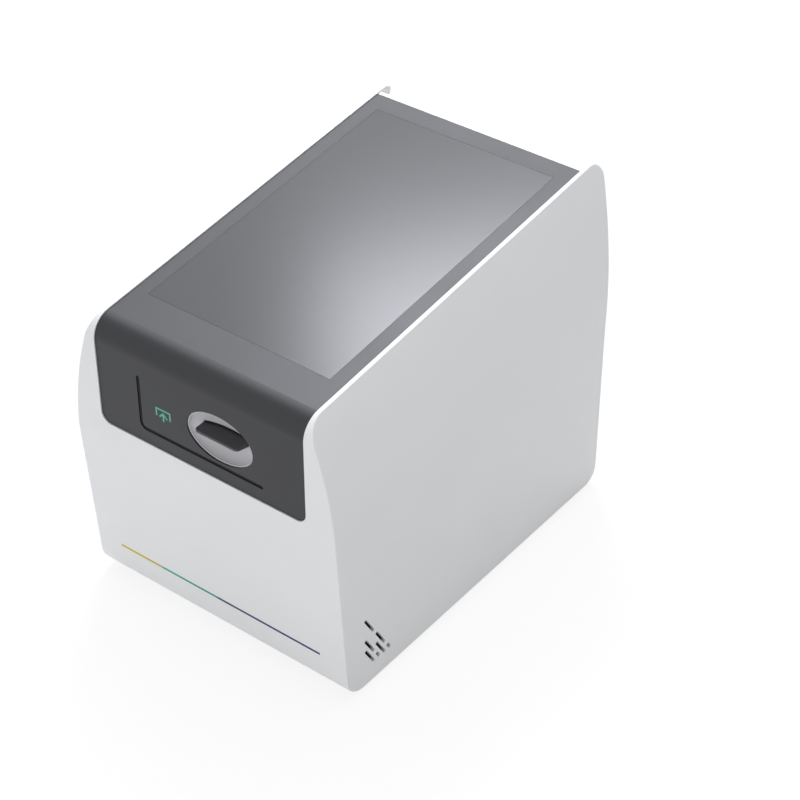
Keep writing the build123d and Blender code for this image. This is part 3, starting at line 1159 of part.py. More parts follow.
rear_screws += [screw_forward(x, z, inlet_face_y, PANEL_INNER_Y) for x, z in inlet_screw_places]
save(Part() + rear_screws, "rear_panel_screws")
fan_screws = [screw_forward(x, z, PANEL_FACE_Y, rear_tip_y) for x, z in fan_screw_places]
save(Part() + fan_screws, "fan_screws")

# Speaker behind the vent slots, on its own bracket
speaker_y = FRONT_Y + SPEAKER_SETBACK
speaker_face_x = INNER_HALF - SPEAKER_WALL_GAP
speaker_back_x = speaker_face_x - SPEAKER_DEPTH
speaker_z = BASE_TOP_Z + SPEAKER_SIZE[1] - SPEAKER_SIZE[0] / 2
speaker = rod_x(speaker_y, speaker_z, speaker_back_x, speaker_face_x - SPEAKER_DOME, SPEAKER_RADIUS)
speaker += rod_x(speaker_y, speaker_z, speaker_face_x - SPEAKER_DOME, speaker_face_x, SPEAKER_RADIUS / 2)
save(speaker, "speaker")
plate_ends = (speaker_y - SPEAKER_SIZE[0] / 2, speaker_y + SPEAKER_SIZE[0] / 2)
plate_x = speaker_back_x - SPEAKER_PLATE
speaker_bracket = block(plate_x, speaker_back_x, *plate_ends, BASE_TOP_Z, BASE_TOP_Z + SPEAKER_SIZE[1])
speaker_bracket += block(plate_x - SPEAKER_FOOT, plate_x, *plate_ends, BASE_TOP_Z, BASE_TOP_Z + SPEAKER_PLATE)
save(speaker_bracket, "speaker_bracket")
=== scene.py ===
# %% [markdown]
# # A bench-top cell counter
# The machine stands on a laboratory bench. A white moulded housing carries a dark cover, which wraps over the top and
# the upper front. A touch display lies in the sloping top, and a small slide tray comes out of an oval finger recess.
# The exact shapes come from the CAD model, so this lesson gives them their finishes, and models the small things
# that CAD leaves plain: screw sockets, hollow feet, contacts, the marks on the switch and the thread of a screw.

# %% Load the machine
import math

import bmesh
import bpy
from mathutils import Matrix, Vector


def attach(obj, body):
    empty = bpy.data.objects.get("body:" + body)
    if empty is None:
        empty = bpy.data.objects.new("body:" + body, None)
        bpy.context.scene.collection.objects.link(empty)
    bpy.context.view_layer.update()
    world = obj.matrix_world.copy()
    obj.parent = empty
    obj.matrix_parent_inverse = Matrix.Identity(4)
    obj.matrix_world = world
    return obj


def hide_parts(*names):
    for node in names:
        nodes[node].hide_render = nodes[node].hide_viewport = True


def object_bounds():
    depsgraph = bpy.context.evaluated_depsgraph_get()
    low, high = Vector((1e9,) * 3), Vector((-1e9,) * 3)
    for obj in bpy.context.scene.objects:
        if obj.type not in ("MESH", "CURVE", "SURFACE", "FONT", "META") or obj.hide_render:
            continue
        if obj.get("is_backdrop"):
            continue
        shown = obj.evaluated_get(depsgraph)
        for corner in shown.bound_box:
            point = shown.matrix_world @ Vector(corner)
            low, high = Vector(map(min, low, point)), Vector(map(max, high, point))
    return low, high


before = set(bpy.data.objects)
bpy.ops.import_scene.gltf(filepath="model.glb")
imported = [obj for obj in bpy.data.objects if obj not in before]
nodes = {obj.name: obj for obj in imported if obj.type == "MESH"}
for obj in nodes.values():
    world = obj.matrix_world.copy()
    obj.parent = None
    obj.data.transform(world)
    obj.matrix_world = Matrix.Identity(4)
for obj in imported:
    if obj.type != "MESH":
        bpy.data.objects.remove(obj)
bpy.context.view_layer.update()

bpy.ops.object.select_all(action="DESELECT")

# %% [markdown]
# ## The camera
# The picture looks down on the right front corner from above. The angles and the lens come from fitting the straight
# edges of the machine, so the camera is placed by numbers. The angle round the machine turns about Z, and the angle
# above the bench tips the camera, which looks straight down when it isn't turned at all.

# %% Place the camera
CAMERA_PLACE = (0.67224, -0.82555, 0.91025)
CAMERA_AROUND = math.radians(37.630)
CAMERA_ABOVE = math.radians(37.289)

camera_data = bpy.data.cameras.new("camera")
camera_data.sensor_width = 36.0
camera_data.lens = 96.16
camera_data.clip_start = 0.05
camera = bpy.data.objects.new("camera", camera_data)
bpy.context.scene.collection.objects.link(camera)
camera.location = CAMERA_PLACE
camera.rotation_euler = (math.pi / 2 - CAMERA_ABOVE, 0.0, CAMERA_AROUND)
bpy.context.scene.camera = camera
print("camera", round(camera.location.length, 3), "m from the origin")

# %% [markdown]
# ## Helpers for materials
# A material is a small graph of nodes. One function adds a node: its settings are attributes, and each input is either
# a plain value or the output of another node. Colours are written as people pick them on a screen, in sRGB, and
# Blender works with linear light, so one function turns the one into the other. A pattern needs a size: Blender's
# noise repeats about once per unit divided by its scale, and the scene is in metres.

# %% Colour, size and node helpers
MM = 0.001
# A Mix node has sockets for every kind of value, so those for colours are picked by their numbers.
MIX_FACTOR, MIX_FIRST, MIX_SECOND = 0, 6, 7
MIX_RESULT = 2


def screen_colour(code):
    """An sRGB colour such as #D8DADB as linear red, green, blue and full alpha."""
    channels = [int(code[start:start + 2], 16) / 255 for start in (1, 3, 5)]
    return [c / 12.92 if c <= 0.04045 else ((c + 0.055) / 1.055) ** 2.4 for c in channels] + [1.0]


def per_mm(millimetres):
    """The scale at which a pattern repeats every so many millimetres."""
    return 1.0 / (millimetres * MM)


def add_node(tree, kind, inputs, **settings):
    """A node with its settings, whose inputs are plain values or the outputs of other nodes."""
    node = tree.nodes.new(kind)
    for name, value in settings.items():
        setattr(node, name, value)
    for socket, value in inputs.items():
        if isinstance(value, bpy.types.NodeSocket):
            tree.links.new(value, node.inputs[socket])
        else:
            node.inputs[socket].default_value = value
    return node


print("mid grey #808080 is", round(screen_colour("#808080")[0], 3), "in linear light")

# %% [markdown]
# Every finish starts in the same way, with the machine's own coordinates, so that a pattern stays on its piece when
# the piece moves. It also ends in the same way: one pattern blends two tones and two degrees of gloss, and a
# pattern, the same one or a finer one, raises tiny hills, whose height is given in millimetres.

# %% Start, end and assign a finish
def start_finish(name):
    material = bpy.data.materials.new(name)
    material.use_nodes = True
    tree = material.node_tree
    tree.nodes.clear()
    place = add_node(tree, "ShaderNodeTexCoord", {}).outputs["Object"]
    return material, tree, place


def end_finish(material, tone, tones, gloss, hills, hill_height, **shader_values):
    """`tones` are two sRGB codes or two sockets, `gloss` two values of roughness, `hills` the pattern of the bump."""
    tree = material.node_tree
    first, second = (screen_colour(t) if isinstance(t, str) else t for t in tones)
    blended = {MIX_FACTOR: tone, MIX_FIRST: first, MIX_SECOND: second}
    blend = add_node(tree, "ShaderNodeMix", blended, data_type="RGBA")
    rough = add_node(tree, "ShaderNodeMapRange", {"Value": tone, "To Min": gloss[0], "To Max": gloss[1]})
    bump = add_node(tree, "ShaderNodeBump", {"Height": hills, "Strength": 1.0, "Distance": hill_height * MM})
    surface = {"Base Color": blend.outputs[MIX_RESULT], "Roughness": rough.outputs["Result"]}
    surface["Normal"] = bump.outputs["Normal"]
    shader = add_node(tree, "ShaderNodeBsdfPrincipled", {**surface, **shader_values})
    add_node(tree, "ShaderNodeOutputMaterial", {"Surface": shader.outputs["BSDF"]})
    print("finish", material.name, "with", len(tree.nodes), "nodes")
    return material


def dress(material, *names):
    """Gives a finish to CAD nodes, in place of the plain one that each came with."""
    for name in names:
        for slot in nodes[name].material_slots:
            slot.material = material


# %% [markdown]
# ## Floor, background and light
# The picture is a cut-out on white with soft, even light. The floor is plain white. What the camera and reflections
# see of it is mostly a steady white glow, mixed with the real lit floor, so that the machine's soft shadow stays.
# The light that falls on the machine knows nothing of the glow.

# %% Floor
FLOOR_SIZE = 8.0
FLOOR_GLOW = 1.06
FLOOR_GLOW_SHARE = 0.78


def white_for_eyes(tree):
    """1 for rays from the camera, from reflections and through glass, 0 for the light that falls on things."""
    rays = add_node(tree, "ShaderNodeLightPath", {}).outputs
    direct = {0: rays["Is Camera Ray"], 1: rays["Is Glossy Ray"]}
    either = add_node(tree, "ShaderNodeMath", direct, operation="MAXIMUM").outputs[0]
    through = {0: either, 1: rays["Is Transmission Ray"]}
    return add_node(tree, "ShaderNodeMath", through, operation="MAXIMUM").outputs[0]


floor_material, tree, place = start_finish("white_floor")
share = add_node(tree, "ShaderNodeMath", {0: white_for_eyes(tree), 1: FLOOR_GLOW_SHARE}, operation="MULTIPLY")
dust = add_node(tree, "ShaderNodeTexNoise", {"Vector": place, "Scale": per_mm(40.0)}).outputs["Fac"]
tones = {MIX_FACTOR: dust, MIX_FIRST: screen_colour("#E2E2E2"), MIX_SECOND: screen_colour("#E6E6E6")}
matte_tone = add_node(tree, "ShaderNodeMix", tones, data_type="RGBA").outputs[MIX_RESULT]
matte = add_node(tree, "ShaderNodeBsdfDiffuse", {"Color": matte_tone})
glow = add_node(tree, "ShaderNodeEmission", {"Color": (1.0, 1.0, 1.0, 1.0), "Strength": FLOOR_GLOW})
mixed = {0: share.outputs[0], 1: matte.outputs["BSDF"], 2: glow.outputs["Emission"]}
floor_mix = add_node(tree, "ShaderNodeMixShader", mixed)
add_node(tree, "ShaderNodeOutputMaterial", {"Surface": floor_mix.outputs["Shader"]})

bpy.ops.mesh.primitive_plane_add(size=FLOOR_SIZE, location=(0.0, 0.0, 0.0))
floor = bpy.context.object
floor.name = "floor"
floor.data.materials.append(floor_material)
floor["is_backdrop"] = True
floor.select_set(False)
print("floor", tuple(round(v, 1) for v in floor.dimensions), "m")

# %% [markdown]
# The world is white to the camera and in reflections, and a soft grey fill on everything else.

# %% World
WORLD_FILL = 0.46

world = bpy.data.worlds.new("studio")
bpy.context.scene.world = world
world.use_nodes = True
tree = world.node_tree
tree.nodes.clear()
fill = add_node(tree, "ShaderNodeBackground", {"Color": (1.0, 1.0, 1.0, 1.0), "Strength": WORLD_FILL})
white = add_node(tree, "ShaderNodeBackground", {"Color": (1.0, 1.0, 1.0, 1.0), "Strength": 1.0})
mixed = {0: white_for_eyes(tree), 1: fill.outputs["Background"], 2: white.outputs["Background"]}
world_mix = add_node(tree, "ShaderNodeMixShader", mixed)
add_node(tree, "ShaderNodeOutputWorld", {"Surface": world_mix.outputs["Shader"]})
print("world fill", WORLD_FILL)

# %% [markdown]
# Softboxes shape the machine. A wide one hangs behind it on the left, where the sloping top mirrors it towards the
# camera and lightens the dark cover. A small one in the same direction makes the bloom on the glass. One overhead
# whitens what faces up, and a weak one in front lifts the front above the sides. The two behind are a little cooler,
# like daylight lamps, which gives the dark cover its slightly blue grey. View transform Standard shows the colours as
# they are written.

# %% Lamps
bpy.context.scene.view_settings.view_transform = "Standard"
LAMP_TARGET = Vector((0.03, 0.0, 0.20))
DAYLIGHT = (0.91, 0.93, 1.0)


def add_softbox(name, direction, distance, size, power, colour=(1.0, 1.0, 1.0)):
    """A square lamp that looks at the machine from a direction, with its distance and size in metres."""
    place = LAMP_TARGET + Vector(direction).normalized() * distance
    lamp = bpy.data.lights.new(name, "AREA")
    lamp.shape = "SQUARE"
    lamp.size = size
    lamp.energy = power
    lamp.color = colour
    stand = bpy.data.objects.new(name, lamp)
    bpy.context.scene.collection.objects.link(stand)
    stand.location = place
    stand.rotation_euler = (LAMP_TARGET - place).to_track_quat("-Z", "Y").to_euler()
    print("softbox", name, "at", [round(v, 2) for v in place], "with", power, "W")


add_softbox("cover_softbox", (-0.42, 0.36, 0.83), 1.9, 2.0, 24.0, DAYLIGHT)
add_softbox("glass_softbox", (-0.65, 0.765, 1.26), 1.66, 0.40, 7.6, DAYLIGHT)
add_softbox("overhead_softbox", (0.22, 0.15, 1.0), 2.0, 1.4, 10.0)
add_softbox("front_softbox", (0.12, -0.95, 0.30), 2.4, 1.2, 14.2)

# %% [markdown]
# ## Moulded plastics
# Most of the outside is injection-moulded ABS. The mould is spark-eroded, so the plastic has a fine even grain, and the
# melt cools unevenly, so the gloss drifts a little from place to place. The grain is fine noise that raises the hills,
# and the drift is noise of hand size, which blends the tones and the gloss. The real grain is near 0.1 mm; it is drawn
# coarser so that it shows.

# %% Moulded plastic
def moulded_plastic(name, tones, roughness, grain=0.45, depth=0.004, ior=1.53):
    material, tree, place = start_finish(name)
    cooling = add_node(tree, "ShaderNodeTexNoise", {"Vector": place, "Scale": per_mm(60.0)}).outputs["Fac"]
    erosion = {"Vector": place, "Scale": per_mm(grain), "Detail": 3.0}
    texture = add_node(tree, "ShaderNodeTexNoise", erosion).outputs["Fac"]
    return end_finish(material, cooling, tones, (roughness - 0.04, roughness + 0.04), texture, depth, IOR=ior)


# White ABS, satin, from a spark-eroded mould: pale, very slightly cool, with soft broad highlights.
dress(moulded_plastic("white_moulded_abs", ("#E6E7E8", "#E2E3E4"), 0.46), "housing_shell")
# Charcoal ABS with the same texture: nearly all of its tone is the reflection of the room.
dress(moulded_plastic("charcoal_satin_abs", ("#202125", "#1D1E21"), 0.40, ior=1.49), "top_cover")
# Grey ABS of the slide tray, handled often, so a little glossier.
dress(moulded_plastic("grey_tray_abs", ("#323237", "#2D2D31"), 0.34), "slide_tray")
# Nylon with glass fibres: the fibres give a coarser, duller skin.
glass_nylon = moulded_plastic("black_glass_filled_nylon", ("#1F2022", "#18191B"), 0.50, 0.7, 0.01)
dress(glass_nylon, "fan_frame", "fan_rotor", "switch_bezel", "power_inlet")
# The rocker's mould is polished, so the rocker shines.
dress(moulded_plastic("black_polished_abs", ("#17181A", "#121315"), 0.22, 0.6, 0.001), "power_rocker")
# Acetal slides well and looks slightly waxy.
dress(moulded_plastic("black_acetal", ("#1D1D1F", "#171719"), 0.35), "tray_guide_left", "tray_guide_right")

# %% [markdown]
# ## The display glass
# The cover glass is printed black on its back and lightly etched on its face, so that it doesn't dazzle. Etching leaves
# a satin surface, which spreads the small softbox into a bloom. The fine pattern is the etch itself, and the broad one
# is the drift left by wiping.

# %% Etched display glass
material, tree, place = start_finish("etched_display_glass")
wiping = add_node(tree, "ShaderNodeTexNoise", {"Vector": place, "Scale": per_mm(80.0)}).outputs["Fac"]
etch = add_node(tree, "ShaderNodeTexNoise", {"Vector": place, "Scale": per_mm(0.3)}).outputs["Fac"]
dress(end_finish(material, wiping, ("#141518", "#111215"), (0.20, 0.22), etch, 0.0006, IOR=1.47), "screen_glass")

# %% [markdown]
# ## Light line, pictogram and stripe
# The thin L-shaped line on the front is a light pipe of smoked acrylic with a dull, frosted face, nearly black while
# the machine rests. The load pictogram and the stripe are pad-printed inks. A print has a fine dot texture and sits a
# little above the plastic. The stripe changes colour twice along X, so a colour ramp reads the X of the object's own
# coordinates.

# %% Light pipe and inks
material, tree, place = start_finish("smoked_acrylic")
flow = add_node(tree, "ShaderNodeTexNoise", {"Vector": place, "Scale": per_mm(15.0)}).outputs["Fac"]
unlit = {"IOR": 1.49, "Specular IOR Level": 0.12}
dress(end_finish(material, flow, ("#060607", "#0A0A0B"), (0.30, 0.40), flow, 0.001, **unlit), "status_light")

material, tree, place = start_finish("green_pad_print")
dots = add_node(tree, "ShaderNodeTexNoise", {"Vector": place, "Scale": per_mm(0.5), "Detail": 3.0}).outputs["Fac"]
dress(end_finish(material, dots, ("#58B09A", "#4DA48E"), (0.42, 0.55), dots, 0.003, IOR=1.50), "load_pictogram")

STRIPE_HALF_LENGTH = 80.0
# Where along X, in millimetres, the ink has reached each colour.
STRIPE_COLOURS = ((-80.0, "#CBB30A"), (-48.0, "#C2AE16"), (-44.0, "#22A585"), (-1.0, "#178A7E"), (1.0, "#12165A"))

material, tree, place = start_finish("three_colour_pad_print")
along = add_node(tree, "ShaderNodeSeparateXYZ", {"Vector": place}).outputs["X"]
ends = {"Value": along, "From Min": -STRIPE_HALF_LENGTH * MM, "From Max": STRIPE_HALF_LENGTH * MM}
ramp = add_node(tree, "ShaderNodeValToRGB", {"Fac": add_node(tree, "ShaderNodeMapRange", ends).outputs["Result"]})
for number, (x, code) in enumerate(STRIPE_COLOURS):
    where = (x + STRIPE_HALF_LENGTH) / (2 * STRIPE_HALF_LENGTH)
    stops = ramp.color_ramp.elements
    stop = stops[number] if number < 2 else stops.new(where)
    stop.position = where
    stop.color = screen_colour(code)
ink = ramp.outputs["Color"]
thin_ink = add_node(tree, "ShaderNodeHueSaturation", {"Color": ink, "Value": 1.06}).outputs["Color"]
dots = add_node(tree, "ShaderNodeTexNoise", {"Vector": place, "Scale": per_mm(0.5), "Detail": 3.0}).outputs["Fac"]
matt = {"IOR": 1.50, "Specular IOR Level": 0.2}
dress(end_finish(material, dots, (ink, thin_ink), (0.50, 0.62), dots, 0.003, **matt), "accent_stripe")

# %% [markdown]
# ## Metals
# Sheet and bar metal carries the lines of its rolling or machining. A Mapping node stretches noise along one axis, so
# that each grain becomes a line. A real metal needs no base reflectance other than its colour: metallic is 1, the IOR
# stays at its default, and the lines vary the roughness. Real lines are about 0.05 mm; here they are a few times that.

# %% Lined metal
def lined_metal(name, tones, roughness, lines, width=12.0, depth=0.002):
    """Metal with fine lines. The axis with the small number in `lines` is the one that they run along."""
    material, tree, place = start_finish(name)
    stretched = add_node(tree, "ShaderNodeMapping", {"Vector": place, "Scale": lines}).outputs["Vector"]
    pattern = {"Vector": stretched, "Scale": per_mm(width), "Detail": 3.0}
    scratches = add_node(tree, "ShaderNodeTexNoise", pattern).outputs["Fac"]
    gloss = (roughness - 0.07, roughness + 0.08)
    return end_finish(material, scratches, tones, gloss, scratches, depth, Metallic=1.0)


ALONG_X = (1.0, 60.0, 60.0)
ALONG_Y = (60.0, 1.0, 60.0)
ALONG_Z = (60.0, 60.0, 1.0)
RINGS = (1.0, 1.0, 60.0)

# Milled aluminium plate: pale and cool, with straight tool lines.
dress(lined_metal("milled_aluminium", ("#C6C8CA", "#B6B8BB"), 0.34, ALONG_X), "stage_plate", "screw_bearing_block")
# Turned aluminium has rings round its axis, which is upright here.
turned_aluminium = lined_metal("turned_aluminium", ("#BFC1C4", "#A9ABAF"), 0.30, RINGS)
dress(turned_aluminium, "stage_columns", "objective_lens")
# Heat sinks are drawn through a die, so their lines follow the fins.
extruded_aluminium = lined_metal("extruded_aluminium", ("#B9BBBE", "#A5A7AA"), 0.38, ALONG_Y)
dress(extruded_aluminium, "led_heat_sink", "processor_heat_sink")
# The linear rail and its carriage are ground along the rail.
dress(lined_metal("ground_rail_steel", ("#B0B1B4", "#9A9B9F"), 0.24, ALONG_Z), "focus_rail", "focus_carriage")
# Stainless screws: slightly warm, with coarse turning marks.
screw_steel = lined_metal("turned_stainless_steel", ("#B4B3B0", "#9C9B98"), 0.30, (1.0, 1.0, 30.0), 6.0)
dress(screw_steel, "base_screws", "display_screws", "stage_screws", "rear_panel_screws", "fan_screws", "tray_keeper")
dress(screw_steel, "lead_screw")
# Tin-plated shells of the sockets, bright and smooth.
port_steel = lined_metal("tin_plated_steel", ("#C9C9C7", "#B9B9B6"), 0.27, (60.0, 2.0, 60.0), 20.0, 0.001)
dress(port_steel, "usb_ports", "ethernet_port", "latch_magnet")
# The stepper motor is a stack of steel laminations.
dress(lined_metal("motor_laminations", ("#77777A", "#4C4C50"), 0.42, (1.0, 1.0, 80.0), 40.0, 0.02), "focus_motor")
# Turned brass: warm and bright.
dress(lined_metal("turned_brass", ("#CFB071", "#BC9A58"), 0.28, RINGS), "focus_nut", "board_standoffs")

# %% [markdown]
# Zinc-plated steel sheet shows zinc's crystals as faint patches, each with its own tone, under a bluish passivation.
# A Voronoi pattern gives every patch a random shade. Real patches on plated sheet are about 3 mm.

# %% Zinc plate
material, tree, place = start_finish("zinc_plated_steel")
patches = add_node(tree, "ShaderNodeTexVoronoi", {"Vector": place, "Scale": per_mm(3.0)}).outputs["Color"]
tone = add_node(tree, "ShaderNodeSeparateXYZ", {"Vector": patches}).outputs["X"]
rolled = add_node(tree, "ShaderNodeTexNoise", {"Vector": place, "Scale": per_mm(1.0)}).outputs["Fac"]
zinc_plate = end_finish(material, tone, ("#B9BFC6", "#A3AAB2"), (0.32, 0.44), rolled, 0.003, Metallic=1.0)
dress(zinc_plate, "base_plate", "display_straps", "motor_bracket", "power_supply", "speaker_bracket")

# %% [markdown]
# The finger recess is a small dish in silver lacquer. The lacquer holds fine aluminium flakes, which lie every way, so
# it shines softly without any direction, and its clear binder keeps most of it from looking like bare metal. The
# optics' black parts are blasted and anodised aluminium: a dyed oxide layer hides most of the metal's shine.

# %% Frosted metals
def frosted_metal(name, tones, roughness, metallic, grain=0.4, depth=0.004):
    material, tree, place = start_finish(name)
    blast = {"Vector": place, "Scale": per_mm(grain), "Detail": 4.0}
    blasting = add_node(tree, "ShaderNodeTexNoise", blast).outputs["Fac"]
    gloss = (roughness - 0.05, roughness + 0.05)
    return end_finish(material, blasting, tones, gloss, blasting, depth, Metallic=metallic)


dress(frosted_metal("satin_silver_lacquer", ("#CDCDD0", "#C4C4C8"), 0.60, 0.0), "finger_dish")
black_anodised = frosted_metal("black_anodised_aluminium", ("#1B1C1F", "#151619"), 0.42, 0.6)
dress(black_anodised, "optics_backplate", "objective_bracket", "filter_cube", "cube_bracket", "excitation_led")
dress(black_anodised, "tube_lens", "camera_module", "illuminator_housing", "illuminator_arm", "lcd_module")

# %% [markdown]
# ## Rear panel, feet and speaker
# The rear panel is steel with white powder coat, and its upper edge shows behind the cover as a pale line. The powder
# melts into a skin like orange peel, with soft hills about a millimetre wide. The feet are moulded rubber, dull and a
# little dusty, and the speaker has a doped paper cone.

# %% Powder coat, rubber and paper
material, tree, place = start_finish("white_powder_coat")
peel = add_node(tree, "ShaderNodeTexNoise", {"Vector": place, "Scale": per_mm(1.2), "Detail": 1.0}).outputs["Fac"]
dress(end_finish(material, peel, ("#E9EAEB", "#E4E5E6"), (0.38, 0.48), peel, 0.03, IOR=1.50), "rear_panel")

material, tree, place = start_finish("black_moulded_rubber")
dusty = add_node(tree, "ShaderNodeTexNoise", {"Vector": place, "Scale": per_mm(6.0), "Detail": 4.0}).outputs["Fac"]
skin = add_node(tree, "ShaderNodeTexNoise", {"Vector": place, "Scale": per_mm(0.8)}).outputs["Fac"]
foot_rubber = end_finish(material, dusty, ("#1A1A1B", "#2A2A2B"), (0.72, 0.88), skin, 0.01, IOR=1.52)
dress(foot_rubber, "rubber_feet")

material, tree, place = start_finish("doped_paper_cone")
fibres = add_node(tree, "ShaderNodeTexNoise", {"Vector": place, "Scale": per_mm(0.9), "Detail": 5.0}).outputs["Fac"]
dress(end_finish(material, fibres, ("#1F1E1D", "#2E2C2A"), (0.55, 0.80), fibres, 0.04, IOR=1.50), "speaker")

# %% [markdown]
# ## Circuit boards
# A board is glass-filled epoxy under green solder mask. Copper tracks lie under the mask and show as lighter lines,
# and tin pads shine where the mask is open. Two brick patterns give tracks along both ways, and a Voronoi pattern gives
# round pads. Tracks are near 0.3 mm wide; they are drawn at 0.5 mm.

# %% Solder mask, tracks and pads
TRACK_HALF_WIDTH = 0.25
TRACK_GRIDS = ((21.0, 3.1), (33.0, 6.3))
PAD_SPACING = 7.0

material, tree, place = start_finish("green_solder_mask")
quarter_turn = {"Vector": place, "Rotation": (0.0, 0.0, math.pi / 2)}
across = add_node(tree, "ShaderNodeMapping", quarter_turn).outputs["Vector"]
track_sets = []
for where, (width, row) in zip((place, across), TRACK_GRIDS):
    sizes = {"Vector": where, "Scale": 1.0, "Mortar Size": TRACK_HALF_WIDTH * MM}
    sizes.update({"Brick Width": width * MM, "Row Height": row * MM})
    track_sets.append(add_node(tree, "ShaderNodeTexBrick", sizes).outputs["Fac"])
copper = add_node(tree, "ShaderNodeMath", dict(enumerate(track_sets)), operation="MAXIMUM").outputs[0]
vias = add_node(tree, "ShaderNodeTexVoronoi", {"Vector": place, "Scale": per_mm(PAD_SPACING)}).outputs["Distance"]
near = {"Value": vias, "From Min": 0.10, "From Max": 0.12, "To Min": 1.0, "To Max": 0.0}
pads = add_node(tree, "ShaderNodeMapRange", near).outputs["Result"]
masked = {MIX_FACTOR: copper, MIX_FIRST: screen_colour("#0E4A2A"), MIX_SECOND: screen_colour("#1B6A3E")}
mask = add_node(tree, "ShaderNodeMix", masked, data_type="RGBA").outputs[MIX_RESULT]
board_mask = end_finish(material, pads, (mask, "#C9C6BC"), (0.30, 0.36), copper, 0.03, IOR=1.52, Metallic=pads)
dress(board_mask, "main_board", "display_board")

# %% [markdown]
# The display's flat cable has grey insulation over parallel wires. The wires stand out as ribs, 1.27 mm apart. A wave
# pattern repeats every pi / 10 units divided by its scale.

# %% Ribbon cable
WIRE_PITCH = 1.27

material, tree, place = start_finish("grey_ribbon_cable")
wave = {"Vector": place, "Scale": math.pi / 10 * per_mm(WIRE_PITCH)}
ridges_and_painted_shade = add_node(tree, "ShaderNodeTexWave", wave, bands_direction="X").outputs["Fac"]
# The grey follows the same wave as the ridges. It is lighter on their crests and darker in the grooves between the
# wires, which is painted shade.
dress(end_finish(material, ridges_and_painted_shade, ("#8E9094", "#B4B6BA"), (0.40, 0.50), ridges_and_painted_shade, 0.3, IOR=1.50), "display_ribbon")

# %% [markdown]
# ## Lamp and glass of the optics
# The bright-field lamp is a ceramic tile, with the lamp's yellow phosphor as a round spot in its middle. A Mapping node
# moves the pattern's centre there, and the distance from it picks the tone. Lens glass is clear and polished, and the
# dichroic mirror's thin coating passes green-yellow light and throws back blue.

# %% Ceramic, phosphor and optical glass
LED_CENTRE = (13.6, -86.8, 179.1)
PHOSPHOR_RADIUS = 3.8
PHOSPHOR_RIM = 0.2

material, tree, place = start_finish("led_ceramic_and_phosphor")
centre = {"Vector": place, "Location": [-v * MM for v in LED_CENTRE]}
from_centre = add_node(tree, "ShaderNodeMapping", centre).outputs["Vector"]
reach = add_node(tree, "ShaderNodeVectorMath", {0: from_centre}, operation="LENGTH").outputs["Value"]
rim = {"Value": reach, "From Min": (PHOSPHOR_RADIUS - PHOSPHOR_RIM) * MM, "From Max": PHOSPHOR_RADIUS * MM}
beyond = add_node(tree, "ShaderNodeMapRange", rim).outputs["Result"]
speckle = add_node(tree, "ShaderNodeTexNoise", {"Vector": place, "Scale": per_mm(0.6), "Detail": 3.0}).outputs["Fac"]
dress(end_finish(material, beyond, ("#E2C640", "#E6E4DA"), (0.60, 0.45), speckle, 0.01, IOR=1.60), "brightfield_led")


def optical_glass(name, tones):
    """Polished glass: it lets light through, and faint traces of the polishing vary its gloss."""
    material, tree, place = start_finish(name)
    pitch = add_node(tree, "ShaderNodeTexNoise", {"Vector": place, "Scale": per_mm(3.0)}).outputs["Fac"]
    clear = {"IOR": 1.52, "Transmission Weight": 1.0}
    return end_finish(material, pitch, tones, (0.01, 0.04), pitch, 0.0001, **clear)


dress(optical_glass("polished_crown_glass", ("#F2F7F8", "#ECF3F5")), "condenser_lens")
dress(optical_glass("dichroic_coated_glass", ("#B9C968", "#A9BE62")), "dichroic_mirror")

FEWEST_NODES = 6
graphs = {name: node.material_slots[0].material.node_tree for name, node in nodes.items()}
plain = sorted(name for name, graph in graphs.items() if len(graph.nodes) < FEWEST_NODES)
print("CAD nodes still in their plain finish:", plain or "none")

# %% [markdown]
# ## Modelling helpers
# The small pieces are modelled by hand in steps: a primitive, then faces are picked in edit mode and worked on. Picking
# needs a rule, such as all faces that look up, so one function selects the faces that a rule says. Another one applies
# the modifiers and puts the place of the piece into its mesh, as a CAD node has it. What repeats is modelled once, and
# its copies are joined into one piece.

# %% Pick, settle and copy
def only(piece):
    """Selects one piece and nothing else, because an operator acts on all that is selected."""
    bpy.ops.object.select_all(action="DESELECT")
    piece.select_set(True)
    bpy.context.view_layer.objects.active = piece


def pick_faces(piece, wanted):
    """Selects, in edit mode, the faces whose centre and normal satisfy the rule."""
    bpy.ops.mesh.select_all(action="DESELECT")
    bpy.ops.mesh.select_mode(type="FACE")
    mesh = bmesh.from_edit_mesh(piece.data)
    for face in mesh.faces:
        face.select_set(bool(wanted(piece.matrix_world @ face.calc_center_median(), face.normal)))
    bmesh.update_edit_mesh(piece.data)


def settle(piece, smooth_degrees=35.0):
    """Applies a piece's modifiers and its place, and smooths all edges that are blunter than an angle."""
    only(piece)
    for modifier in list(piece.modifiers):
        bpy.ops.object.modifier_apply(modifier=modifier.name)
    bpy.ops.object.transform_apply(location=True, rotation=True, scale=True)
    bpy.ops.object.shade_smooth_by_angle(angle=math.radians(smooth_degrees))
    return piece


def joined(name, pieces):
    """One piece out of several, with its place in its mesh."""
    only(pieces[0])
    for piece in pieces:
        piece.select_set(True)
    bpy.ops.object.join()
    bpy.ops.object.transform_apply(location=True, rotation=True, scale=True)
    whole = bpy.context.object
    whole.name = whole.data.name = name
    return whole


def copies_at(model, name, places):
    """Joined copies of a model, each with its own mesh, moved by the given matrices."""
    copies = []
    for place in places:
        copy = model.copy()
        copy.data = model.data.copy()
        copy.matrix_world = place
        bpy.context.scene.collection.objects.link(copy)
        copies.append(copy)
    whole = joined(name, copies)
    print(name, "has", len(places), "copies,", len(whole.data.polygons), "faces")
    return whole


def moved_to(*spots):
    """Matrices that move a model from the origin to places in millimetres."""
    return [Matrix.Translation(Vector(spot) * MM) for spot in spots]


def discard(*models):
    """Removes models and tools that have done their work."""
    for model in models:
        bpy.data.objects.remove(model, do_unlink=True)


